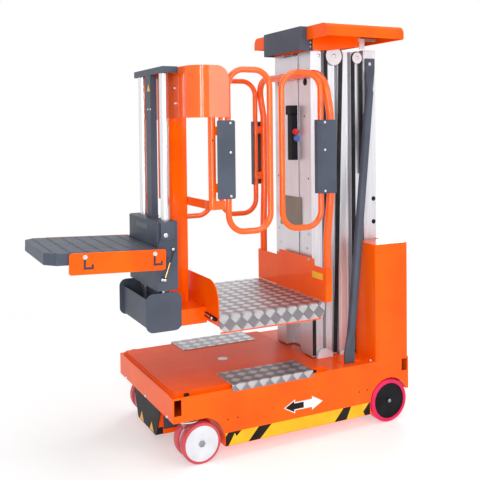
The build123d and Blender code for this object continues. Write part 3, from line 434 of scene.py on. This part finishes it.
# Turned form: x = r cos t, y = r sin t, z = h for a profile of (r, h) pairs, closed by a fan of
# triangles at its foot and at its tip
def turned(profile, sides):
    profile = np.array(profile, float)
    turn = np.linspace(0, 2 * np.pi, sides, endpoint=False)
    radius, height = profile[:, :1], profile[:, 1:]
    rings = np.stack([radius * np.cos(turn), radius * np.sin(turn), height + 0 * turn], axis=-1)
    points = np.concatenate([rings.reshape(-1, 3), [[0, 0, profile[0, 1]], [0, 0, profile[-1, 1]]]])
    last = len(points) - sides - 2
    ring = np.arange(sides)
    following = np.roll(ring, -1)
    foot = np.stack([following, ring, np.full(sides, len(points) - 2)], axis=-1)
    tip = np.stack([ring + last, following + last, np.full(sides, len(points) - 1)], axis=-1)
    return points, [*ringFaces(len(profile), sides), *foot, *tip]


# a shape moved so that its own z points along axis and its origin is at place
def placed(shape, place, axis):
    points, faces = shape
    turn = np.array(Vector(axis).to_track_quat("Z", "Y").to_matrix())
    return points @ turn.T + np.asarray(place), faces


# Flat outline with a wall: the points are given in two axes across the third, from low to high on it
def slab(points, axis, low, high):
    points = np.array(points, float)
    order = {"x": (2, 0, 1), "y": (0, 2, 1), "z": (0, 1, 2)}[axis]
    levels = [np.column_stack([points, np.full(len(points), level)])[:, order] for level in (low, high)]
    count = len(points)
    ring = np.arange(count)
    following = np.roll(ring, -1)
    walls = np.stack([ring, following, following + count, ring + count], axis=-1)
    return np.concatenate(levels), [ring[::-1], ring + count, *walls]


# corners of a rectangle rounded by arcs of one radius, each with steps points
def roundedOutline(low, high, radius, steps):
    corners = np.array([(high[0], high[1]), (low[0], high[1]), (low[0], low[1]), (high[0], low[1])], float)
    inward = np.array([(-1, -1), (1, -1), (1, 1), (-1, 1)]) * radius
    turn = np.linspace(0, np.pi / 2, steps)
    turns = turn + (np.arange(4) * np.pi / 2)[:, None]
    arcs = np.stack([np.cos(turns), np.sin(turns)], axis=-1) * radius
    return (arcs + (corners + inward)[:, None]).reshape(-1, 2)


# the normals of a mesh turned outwards, after its doubles closer than a micron are merged
def outward(mesh):
    work = bmesh.new()
    work.from_mesh(mesh)
    bmesh.ops.remove_doubles(work, verts=work.verts, dist=0.001 * mm)
    bmesh.ops.recalc_face_normals(work, faces=work.faces)
    work.to_mesh(mesh)
    work.free()
    return mesh


# Carried-over nodes, each with its finish and the width in millimetres of its rounded edges

carried = {
    "chassis_hull": {"finish": "orangePaint", "edge": 1.5},
    "deck_lid": {"finish": "deckOrange", "edge": 1.5},
    "side_steps": {"finish": "barTread", "edge": 0.8},
    "front_guard": {"finish": "blackPaint", "edge": 0.8},
    "battery_pack": {"finish": "blackPlastic", "edge": 3.0},
    "drive_units": {"finish": "blackPaint", "edge": 1.5},
    "tower": {"finish": "orangePaint", "edge": 0.0},
    "mast_section_fixed": {"finish": "anodised", "edge": 1.2},
    "mast_section_3": {"finish": "anodised", "edge": 1.2},
    "mast_section_2": {"finish": "anodised", "edge": 1.2},
    "mast_section_1": {"finish": "anodised", "edge": 1.2},
    "mast_section_platform": {"finish": "anodised", "edge": 1.2},
    "mast_braces": {"finish": "anthracitePaint", "edge": 1.0},
    "hoses_3": {"finish": "hoseRubber", "edge": 1.2},
    "hoses_1": {"finish": "hoseRubber", "edge": 1.2},
    "sheave_3": {"finish": "whitePlastic", "edge": 0.8},
    "sheave_1": {"finish": "whitePlastic", "edge": 0.8},
    "head_cover": {"finish": "anthracitePaint", "edge": 1.0},
    "head_frame": {"finish": "orangePaint", "edge": 1.0},
    "roof_wing": {"finish": "orangePaint", "edge": 1.0},
    "platform_tread": {"finish": "barTread", "edge": 1.0},
    "platform_frame": {"finish": "orangePaint", "edge": 1.0},
    "kick_plate_rear": {"finish": "orangePaint", "edge": 1.0},
    "kick_plate_front": {"finish": "orangePaint", "edge": 1.0},
    "handrail": {"finish": "glossOrange", "edge": 0.0},
    "guard_frame": {"finish": "glossOrange", "edge": 1.2},
    "guard_shield": {"finish": "glossOrange", "edge": 0.8},
    "tray_column": {"finish": "orangePaint", "edge": 0.0},
    "gate_hinges": {"finish": "glossOrange", "edge": 1.0},
    "hinge_covers": {"finish": "anthracitePaint", "edge": 0.8},
    "control_box": {"finish": "blackPlastic", "edge": 2.0},
    "brace_brackets": {"finish": "orangePaint", "edge": 1.0},
    "beam_plates": {"finish": "orangePaint", "edge": 0.6},
    "hose_guides": {"finish": "whitePlastic", "edge": 0.8},
    "hose_platform": {"finish": "hoseRubber", "edge": 1.2},
    "tray_guides": {"finish": "chromed", "edge": 0.0},
    "tray_bracket": {"finish": "anthracitePaint", "edge": 1.2},
    "tray_trough": {"finish": "anthracitePaint", "edge": 1.2},
    "tray_carriage": {"finish": "anthracitePaint", "edge": 1.2},
    "carriage_cheeks": {"finish": "anthracitePaint", "edge": 1.0},
    "tray_deck": {"finish": "anthracitePaint", "edge": 1.2},
    "tray_arms": {"finish": "anthracitePaint", "edge": 0.8},
    "tray_side_plates": {"finish": "orangePaint", "edge": 0.8},
    "tray_bolts": {"finish": "zinc", "edge": 0.8},
    "tray_channel": {"finish": "anthracitePaint", "edge": 1.0},
    "tray_struts": {"finish": "blackPaint", "edge": 0.0},
    "gate_front_near": {"finish": "glossOrange", "edge": 0.0},
    "gate_front_far": {"finish": "glossOrange", "edge": 0.0},
    "gate_rear_near": {"finish": "glossOrange", "edge": 0.0},
    "gate_rear_far": {"finish": "glossOrange", "edge": 0.0},
    "caster_fork_near": {"finish": "zinc", "edge": 0.8},
    "caster_fork_far": {"finish": "zinc", "edge": 0.8},
    "caster_hubs_near": {"finish": "whitePlastic", "edge": 0.8},
    "caster_hubs_far": {"finish": "whitePlastic", "edge": 0.8},
    "caster_tyres_near": {"finish": "frontTyre", "edge": 0.0},
    "caster_tyres_far": {"finish": "frontTyre", "edge": 0.0},
    "drive_wheel_near": {"finish": "blackPlastic", "edge": 0.8},
    "drive_wheel_far": {"finish": "blackPlastic", "edge": 0.8},
    "drive_tyre_near": {"finish": "rearTyre", "edge": 0.0},
    "drive_tyre_far": {"finish": "rearTyre", "edge": 0.0},
}
skinWork = {"decimals": 6, "flat": 0.4, "corner": 40, "segments": 2}
nodeBody = {node: body for body, nodes in frame["record"]["behaviour"]["bodies"].items() for node in nodes}


# A copy of a node: equal points become one, faces that lie flat within an angle are joined, and edges
# sharper than the corner angle get a bevel
def softened(node, look):
    source = frame["nodes"][node].data
    mesh = bpy.data.meshes.new(node + "_shell")
    places = np.zeros(len(source.vertices) * 3)
    source.vertices.foreach_get("co", places)
    corners = np.zeros(len(source.loops), int)
    source.loops.foreach_get("vertex_index", corners)
    places = np.round(places.reshape(-1, 3), skinWork["decimals"])
    points, number = np.unique(places, axis=0, return_inverse=True)
    faces = number.reshape(-1)[corners].reshape(-1, 3)
    whole = (faces[:, 0] != faces[:, 1]) & (faces[:, 1] != faces[:, 2]) & (faces[:, 0] != faces[:, 2])
    mesh.from_pydata(points.tolist(), [], faces[whole].tolist())
    work = bmesh.new()
    work.from_mesh(mesh)
    flat = math.radians(skinWork["flat"])
    bmesh.ops.dissolve_limit(work, angle_limit=flat, verts=work.verts, edges=work.edges)
    work.to_mesh(mesh)
    work.free()
    made = piece(node + "_skin", mesh, look["finish"], nodeBody[node])
    if look["edge"]:
        rounding = made.modifiers.new("rounding", "BEVEL")
        rounding.width = look["edge"] * mm
        rounding.segments = skinWork["segments"]
        rounding.limit_method = "ANGLE"
        rounding.angle_limit = math.radians(skinWork["corner"])
        rounding.harden_normals = True
    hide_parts(node)


for node, look in carried.items():
    softened(node, look)
print("skins:", len(carried))


# Small round parts: each outline runs from foot to tip, as shares of the part's radius and height

roundKinds = {
    "screw": {"outline": [(1, 0), (1, 0.5), (0.82, 0.88), (0.42, 1.0), (0.38, 0.72)], "sides": 20},
    "plug": {"outline": [(1, 0), (1, 0.6), (0.86, 1.0)], "sides": 28},
    "hexNut": {"outline": [(1, 0), (1, 0.8), (0.86, 1.0)], "sides": 6},
    "mushroom": {"outline": [(0.55, 0), (0.55, 0.45), (0.96, 0.58), (1, 0.7), (0.92, 0.92), (0.6, 1.0)],
                 "sides": 32},
}
sink = 0.6  # how far a fastener's foot stands in its plate, in millimetres
hullY = -sideY / mm
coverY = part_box("hinge_covers")[0].y / mm
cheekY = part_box("carriage_cheeks")[0].y / mm
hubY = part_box("caster_hubs_near")[0].y / mm
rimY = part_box("drive_wheel_near")[0].y / mm
guardX = (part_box("front_guard")[0].x - front) / mm
kickX = (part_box("kick_plate_rear")[0].x - front) / mm
coverScrewLevels = (1505, 1373.5, 1177.6)
near = (0, -1, 0)
ahead = (-1, 0, 0)
upward = (0, 0, 1)

screw = {"kind": "screw", "finish": "zinc", "slot": "zinc_steel"}
nut = {"kind": "hexNut", "finish": "zinc", "slot": "zinc_steel"}
darkDisc = {"kind": "plug", "finish": "blackPlastic", "slot": "black_plastic"}

# radius and height in millimetres, the way each part points, whether the far side has it too, and its
# spots as a station behind the bumper, a distance from the middle and a height
roundParts = {
    "cover_screws": {**screw, "body": "platform", "size": (6, 3), "axis": near, "both": True,
                     "spots": [(x, coverY, z) for x in (300.5, 799) for z in coverScrewLevels]},
    "shield_bolts": {**screw, "body": "platform", "size": (6, 10), "axis": ahead, "both": True,
                     "spots": [(116, -159, 1741.7), (116, -163, 1668.2), (116, -176, 1597.1)]},
    "post_plugs": {**darkDisc, "body": "platform", "size": (4, 2), "axis": near, "both": True,
                   "spots": [(221, -341, 1428.5)]},
    "mast_plugs": {**darkDisc, "body": "platform", "size": (18, 3), "axis": ahead, "both": True,
                   "spots": [(833, -129, 1710.6)]},
    # painted shade: black discs stand for holes, dark with the shade inside them
    "mast_hole_shade": {**darkDisc, "body": "platform", "size": (5, 1.2), "axis": ahead, "both": True,
                   "spots": [(833, -119.3, 1537.5), (833, -152.6, 1222.3)]},
    "mast_screws": {**screw, "body": "platform", "size": (7, 3), "axis": ahead, "both": True,
                    "spots": [(833, -151.8, 941), (833, -134.3, 868.4)]},
    "mast_side_screw": {**screw, "body": "platform", "size": (9, 4), "axis": near, "both": True,
                        "spots": [(880.4, -182, 1841.8)]},
    "fixed_plugs": {**darkDisc, "body": "chassis", "size": (12, 3), "axis": near, "both": True,
                    "spots": [(1213.5, -182, 1104.4), (1213.5, -182, 984.4)]},
    "head_screws": {**screw, "body": "platform", "size": (6, 4), "axis": near, "both": True,
                    "spots": [(829.2, -190.5, 1902.7), (829.2, -190.5, 1882.4)]},
    "brace_top_bolts": {**nut, "body": "chassis", "size": (11, 9), "axis": near, "both": True,
                        "spots": [(1181.2, -192, 1805.3)]},
    "brace_foot_bolts": {**nut, "body": "chassis", "size": (10, 7), "axis": near, "both": True,
                         "spots": [(962, -324.7, 328)]},
    "deck_screws": {**screw, "body": "chassis", "size": (7, 6), "axis": upward, "both": True,
                    "spots": [(1070, -343, 315)]},
    "bumper_screws": {**screw, "body": "chassis", "size": (7, 5), "axis": ahead, "both": False,
                      "spots": [(0, 272, 217), (0, -20, 217), (0, -308, 217)]},
    # painted shade: black discs stand for holes, dark with the shade inside them
    "hull_hole_shade": {**darkDisc, "body": "chassis", "size": (4, 1), "axis": near, "both": True,
                   "spots": [(x, hullY, z) for x, z in ((263, 179), (313, 180), (977, 181), (1025, 183))]},
    "pivot_pins": {**screw, "body": "tray_carriage", "size": (11, 4), "axis": near, "both": True,
                   "spots": [(38.9, cheekY, 1003.7)]},
    "strut_pins": {**screw, "body": "tray_carriage", "size": (7, 3), "axis": near, "both": True,
                   "spots": [(74, cheekY, 937.5), (22, cheekY + 3, 803), (33, cheekY, 801)]},
    "channel_screws": {**screw, "body": "platform", "size": (5, 3), "axis": ahead, "both": False,
                       "spots": [(42, 3, 1575), (42, -31, 1574.5)]},
    "kick_screw": {**screw, "body": "platform", "size": (9, 4), "axis": ahead, "both": False,
                   "spots": [(kickX, -195, 821)]},
    "sheave_screw_1": {**screw, "body": "mast_stage_1", "size": (9, 3), "axis": near, "both": False,
                       "spots": [(963, -200.3, 1840)]},
    "sheave_screw_3": {**screw, "body": "mast_stage_3", "size": (9, 3), "axis": near, "both": False,
                       "spots": [(1105, -200.3, 1834)]},
    "stop_knob": {"kind": "mushroom", "finish": "redPlastic", "slot": "black_plastic", "body": "platform",
                  "size": (17, 24), "axis": near, "both": False, "spots": [(808, -56, 1459.5)]},
    "mode_dial": {"kind": "plug", "finish": "bluePlastic", "slot": "black_plastic", "body": "platform",
                  "size": (17, 12), "axis": near, "both": False, "spots": [(822, -56, 1427)]},
    "deck_mark": {"kind": "plug", "finish": "whiteFilm", "slot": "pale_plastic", "body": "chassis",
                  "size": (26, 0.9), "axis": upward, "both": False, "spots": [(412, -8, 330)]},
    "latch_screw": {**screw, "body": "platform", "size": (8, 5), "axis": ahead, "both": False,
                    "spots": [(231, -284, 619)]},
}
wheelNuts = {
    "caster_nut": {"wheel": "caster_wheel", "face": hubY, "radius": 16, "spot": (139, 92)},
    "drive_nut": {"wheel": "drive_wheel", "face": rimY, "radius": 10, "spot": (1158, 108)},
}
for sideName, sideSign in (("near", 1), ("far", -1)):
    for nutName, nutLook in wheelNuts.items():
        station, height = nutLook["spot"]
        roundParts[nutName + "_" + sideName] = {
            "kind": "hexNut", "finish": "darkSteel", "slot": "zinc_steel",
            "body": nutLook["wheel"] + "_" + sideName, "size": (nutLook["radius"], 3),
            "axis": (0, -sideSign, 0), "both": False,
            "spots": [(station, nutLook["face"] * sideSign, height)]}


# Every spot gets the turned outline, its foot sunk by sink; the far side is the near one with y turned over
def roundPart(name, look):
    kind = roundKinds[look["kind"]]
    shape = turned(np.array(kind["outline"]) * look["size"] * mm, kind["sides"])
    shapes = []
    for flip in ((1, -1) if look["both"] else (1,)):
        turnOver = np.array([1, flip, 1])
        axis = np.array(look["axis"]) * turnOver
        shapes += [placed(shape, at(*spot) * turnOver - axis * sink * mm, axis) for spot in look["spots"]]
    piece(name, joined(name, shapes), look["finish"], look["body"])


for roundName, roundLook in roundParts.items():
    roundPart(roundName, roundLook)
print("round parts:", len(roundParts))


# Flat parts: outlines in the two axes across the given one, and how far each reaches along it

bandLow, bandHigh = 59.5, 118.5
arrowMiddle = 176
outerArrow = [(552, 0), (612, 33), (612, 19), (705, 19), (705, 33), (765, 0)]
innerArrow = [(560, 0), (607, 26), (607, 14), (659, 14)]
flatParts = {
    "band_ground": {"finish": "blackFilm", "slot": "black_plastic", "body": "chassis", "axis": "y",
                    "reach": (hullY - 0.3, hullY + 1), "both": True,
                    "outlines": [[(251.5, bandLow), (1041, bandLow), (1041, bandHigh), (251.5, bandHigh)]]},
    "band_yellow": {"finish": "yellowFilm", "slot": "orange", "body": "chassis", "axis": "y",
                    "reach": (hullY - 0.7, hullY + 0.5), "both": True,
                    "outlines": [
                        [(265.7, bandLow), (365, bandLow), (419.3, bandHigh), (331.6, bandHigh)],
                        [(425, bandLow), (831, bandLow), (882.8, bandHigh), (486.3, bandHigh)],
                        [(900.5, bandLow), (981.5, bandLow), (1033, bandHigh), (928.6, bandHigh)],
                        [(251.5, 104), (264, bandHigh), (251.5, bandHigh)]]},
    "band_signs": {"finish": "yellowFilm", "slot": "orange", "body": "chassis", "axis": "y",
                   "reach": (hullY - 1.1, hullY + 0.5), "both": True,
                   "outlines": [[(265, 60), (323, 60), (297, 112)], [(952, 60), (1009, 60), (985, 108)]]},
    "arrow_ground": {"finish": "whiteFilm", "slot": "pale_plastic", "body": "chassis", "axis": "y",
                     "reach": (hullY - 0.3, hullY + 1), "both": True,
                     "outlines": [[(x, arrowMiddle + z) for x, z in outerArrow]
                                  + [(x, arrowMiddle - z) for x, z in outerArrow[-2:0:-1]]]},
    "arrow_dark": {"finish": "blackFilm", "slot": "black_plastic", "body": "chassis", "axis": "y",
                   "reach": (hullY - 0.7, hullY + 0.5), "both": True,
                   "outlines": [[(x, arrowMiddle + z) for x, z in innerArrow]
                                + [(x, arrowMiddle - z) for x, z in innerArrow[:0:-1]]]},
    "guard_signs": {"finish": "yellowFilm", "slot": "orange", "body": "chassis", "axis": "x",
                    "reach": (guardX - 0.4, guardX + 0.5), "both": False,
                    "outlines": [[(101, 67), (44, 67), (73, 109)], [(-41, 67), (-95, 67), (-68, 108)]]},
    "beam_panels": {"finish": "anthracitePaint", "slot": "anthracite", "body": "chassis", "axis": "y",
                    "reach": (-121.5, -118), "both": True,
                    "outlines": [[(46, 80), (144, 80), (144, 194), (46, 194)]]},
    "beam_feet": {"finish": "blackPaint", "slot": "black_steel", "body": "chassis", "axis": "y",
                  "reach": (-122.5, -119), "both": True,
                  "outlines": [[(16, 63), (50, 63), (50, 99), (16, 99)]]},
    "notice_panel": {"finish": "olivePanel", "slot": "aluminium", "body": "platform", "axis": "x",
                     "reach": (827, 831), "both": False,
                     "outlines": [[(-88, 965), (125, 965), (125, 1122), (-88, 1122)]]},
    "kick_label": {"finish": "yellowFilm", "slot": "orange", "body": "platform", "axis": "x",
                   "reach": (kickX - 0.4, kickX + 0.6), "both": False,
                   "outlines": [[(-222, 739), (-321, 739), (-321, 771), (-222, 771)]]},
    "channel_sign": {"finish": "yellowFilm", "slot": "orange", "body": "platform", "axis": "x",
                     "reach": (41.6, 42.6), "both": False,
                     "outlines": [[(12, 1660), (-30, 1660), (-9, 1694)]]},
    "carriage_label": {"finish": "slateLabel", "slot": "anthracite", "body": "tray_carriage", "axis": "x",
                       "reach": (3.6, 4.6), "both": False,
                       "outlines": [[(90, 1016), (-74, 1016), (-74, 1039), (90, 1039)]]},
    "deck_stops": {"finish": "blackPlastic", "slot": "black_plastic", "body": "chassis", "axis": "z",
                   "reach": (314.5, 326), "both": True,
                   "outlines": [[(60, -370), (81, -370), (81, -359), (60, -359)],
                                [(714, -370), (735, -370), (735, -359), (714, -359)]]},
    "latch_bar": {"finish": "blackPlastic", "slot": "black_plastic", "body": "platform", "axis": "x",
                  "reach": (232, 242), "both": False,
                  "outlines": [[(-152, 630), (-155, 615), (-250, 609), (-321, 612), (-321, 624),
                                (-250, 628)]]},
    "latch_strip": {"finish": "zinc", "slot": "zinc_steel", "body": "platform", "axis": "x",
                    "reach": (230.5, 233), "both": False,
                    "outlines": [[(-158, 629), (-158, 622), (-262, 617), (-262, 626)]]},
    "head_brackets": {"finish": "anodised", "slot": "aluminium", "body": "platform", "axis": "y",
                      "reach": (-209.5, -206), "both": True,
                      "outlines": [[(1102, 1916), (1110, 1916), (1110, 1878), (1142, 1878), (1142, 1932),
                                    (1102, 1932)]]},
    "mast_infill": {"finish": "anodised", "slot": "aluminium", "body": "platform", "axis": "x",
                    "reach": (835.5, 839.5), "both": False,
                    "outlines": [[(-86, 330), (-57, 330), (-57, 1862), (-86, 1862)]]},
    # painted shade: olive strips under the roof stand for its underside in shade
    "roof_shade_strips": {"finish": "olivePanel", "slot": "aluminium", "body": "platform", "axis": "y",
                   "reach": (-209, -203), "both": True,
                   "outlines": [[(1141, 1920), (1212, 1920), (1212, 1933), (1141, 1933)]]},
}


# Each outline is given a wall between the two levels of its reach; the far side is the near one turned over
def flatPart(name, look):
    shapes = []
    low, high = look["reach"]
    shift = np.array([front if look["axis"] in "yz" else 0, 0])
    for outline in look["outlines"]:
        points = np.array(outline) * mm + shift
        levels = [low * mm, high * mm]
        if look["axis"] == "x":
            levels = [front + level for level in levels]
        shape = slab(points, look["axis"], *levels)
        shapes.append(shape)
        if look["both"]:
            shapes.append((shape[0] * [1, -1, 1], shape[1]))
    piece(name, outward(joined(name, shapes)), look["finish"], look["body"], smooth=0)


for flatName, flatLook in flatParts.items():
    flatPart(flatName, flatLook)
print("flat parts:", len(flatParts))


# Load tray: rows of small round pips beside its ribs, on the tray's own slope

pips = {"rows": 7, "first": -56, "pitch": 68.3, "halfWidth": 232, "step": 20, "radius": 2.6, "height": 1.1,
        "tip": 0.6, "sides": 6, "sink": 0.2, "level": 950, "pivot": (44, 1002), "tilt": 2.2}


# Row and column numbers give flat places, which turn about the pivot by the tilt; each pip is a cone
# stump whose tip is a share of its foot
def trayPips():
    rows = pips["first"] - pips["pitch"] * np.arange(pips["rows"])
    columns = np.arange(-pips["halfWidth"], pips["halfWidth"] + 1, pips["step"])
    x, y = (grid.reshape(-1) for grid in np.meshgrid(rows, columns))
    turn = math.radians(pips["tilt"])
    away = np.stack([x - pips["pivot"][0], np.full(len(x), pips["level"] - pips["pivot"][1])], axis=-1)
    station = pips["pivot"][0] + away[:, 0] * math.cos(turn) + away[:, 1] * math.sin(turn)
    height = pips["pivot"][1] + away[:, 1] * math.cos(turn) - away[:, 0] * math.sin(turn)
    outline = [(pips["radius"] * mm, 0), (pips["radius"] * pips["tip"] * mm, pips["height"] * mm)]
    shape = turned(outline, pips["sides"])
    axis = (math.sin(turn), 0, math.cos(turn))
    down = np.array(axis) * pips["sink"] * mm
    shapes = [placed(shape, at(*spot) - down, axis) for spot in zip(station, y, height)]
    piece("tray_pips", joined("tray_pips", shapes), "slateLabel", "tray")


trayPips()
print("tray pips:", pips["rows"], "rows")


# Gas strut rods: the bright lower half of each strut, a hair wider than the plain strut under it

rod = {"foot": (35, 811), "head": (58, 878), "radius": 4.5, "inward": 4, "sides": 16}


# a straight bar from foot to head, its middle line set inward from the struts' outer side
def strutRods():
    (footX, footZ), (headX, headZ) = rod["foot"], rod["head"]
    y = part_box("tray_struts")[0].y / mm + rod["inward"]
    along = np.array([headX - footX, 0, headZ - footZ])
    length = float(np.linalg.norm(along))
    shape = turned([(rod["radius"] * mm, 0), (rod["radius"] * mm, length * mm)], rod["sides"])
    shapes = [placed(shape, at(footX, side, footZ), along) for side in (y, -y)]
    piece("strut_rods", joined("strut_rods", shapes), "brass", "tray_carriage")


strutRods()


# Lip of the platform's frame under the tread: near side, round the back and far side

lip = {"front": 252, "rear": 806, "half": 336, "radius": 40, "width": 4, "levels": (556, 562.4),
       "beyond": 200, "steps": 10}  # how far the outline starts ahead of the lip, and the points of a corner


# Half of a rounded outline, open to the front, out along its outer line and back along the inner one
def frameLip():
    low, high = (lip["front"] - lip["beyond"], -lip["half"]), (lip["rear"], lip["half"])
    lines = []
    for inset in (0, lip["width"]):
        radius = lip["radius"] - inset
        ring = roundedOutline(np.array(low) + inset, np.array(high) - inset, radius, lip["steps"])
        back = ring[ring[:, 0] > lip["front"]]
        back = back[np.argsort(np.arctan2(back[:, 1], back[:, 0] - lip["rear"] + lip["half"]))]
        edge = lip["half"] - inset
        lines.append(np.concatenate([[(lip["front"], -edge)], back, [(lip["front"], edge)]]))
    points = np.concatenate([lines[0], lines[1][::-1]]) * mm + (front, 0)
    shape = slab(points, "z", *(level * mm for level in lip["levels"]))
    piece("frame_lip", outward(joined("frame_lip", [shape])), "orangePaint", "platform")


frameLip()


# Studio

# A white world, brighter where the camera or a glossy surface sees it, and lamps turned to the target
def makeLamps():
    world = bpy.data.worlds.new("studio")
    bpy.context.scene.world = world
    world.use_nodes = True
    flow = Flow(world.node_tree)
    back = world.node_tree.nodes["Background"]
    seen = (flow.node("ShaderNodeLightPath", output=0) + flow.node("ShaderNodeLightPath", output=3)).clamp()
    strength = seen * (light["background"] - light["world"]) + light["world"]
    world.node_tree.links.new(strength.socket, back.inputs["Strength"])
    back.inputs["Color"].default_value = (1, 1, 1, 1)
    for name, look in light["lamps"].items():
        data = bpy.data.lights.new(name, "AREA")
        data.shape = "RECTANGLE"
        data.size, data.size_y = look["size"]
        data.energy = look["watts"]
        lamp = bpy.data.objects.new(name, data)
        bpy.context.scene.collection.objects.link(lamp)
        away = Vector(look["place"]) - Vector(light["target"])
        turn = away.to_track_quat("Z", "Y").to_matrix().to_4x4()
        lamp.matrix_world = Matrix.Translation(look["place"]) @ turn


floorLook = {"half": 30.0, "near": 1.6, "far": 3.6, "shade": 0.7, "roughness": 0.7, "lift": 0.4}


# a white floor: near the object it is lit and takes the shadow, further out it is plain white
def makeFloor():
    half = floorLook["half"]
    mesh = bpy.data.meshes.new("floor")
    corners = [(-half, -half, 0), (half, -half, 0), (half, half, 0), (-half, half, 0)]
    mesh.from_pydata(corners, [], [(0, 1, 2, 3)])
    floor = bpy.data.objects.new("floor", mesh)
    bpy.context.scene.collection.objects.link(floor)
    material = bpy.data.materials.new("floorWhite")
    material.use_nodes = True
    tree = material.node_tree
    flow = Flow(tree)
    lit = tree.nodes["Principled BSDF"]
    lit.inputs["Base Color"].default_value = (floorLook["shade"],) * 3 + (1,)
    lit.inputs["Roughness"].default_value = floorLook["roughness"]
    lit.inputs["Emission Color"].default_value = (1, 1, 1, 1)
    lit.inputs["Emission Strength"].default_value = floorLook["lift"]
    glow = flow.node("ShaderNodeEmission", None, {"Color": (1, 1, 1, 1), "Strength": 1.0})
    place = flow.node("ShaderNodeTexCoord", output=3)
    reach = flow.node("ShaderNodeVectorMath", {"operation": "LENGTH"}, {0: place}, 1)
    plain = reach.rise(floorLook["near"], floorLook["far"])
    both = flow.node("ShaderNodeMixShader", None, {0: plain, 1: Flow(tree, lit.outputs[0]), 2: glow})
    tree.links.new(both.socket, tree.nodes["Material Output"].inputs["Surface"])
    mesh.materials.append(material)


makeLamps()
makeFloor()
bpy.context.scene.view_settings.view_transform = "Standard"
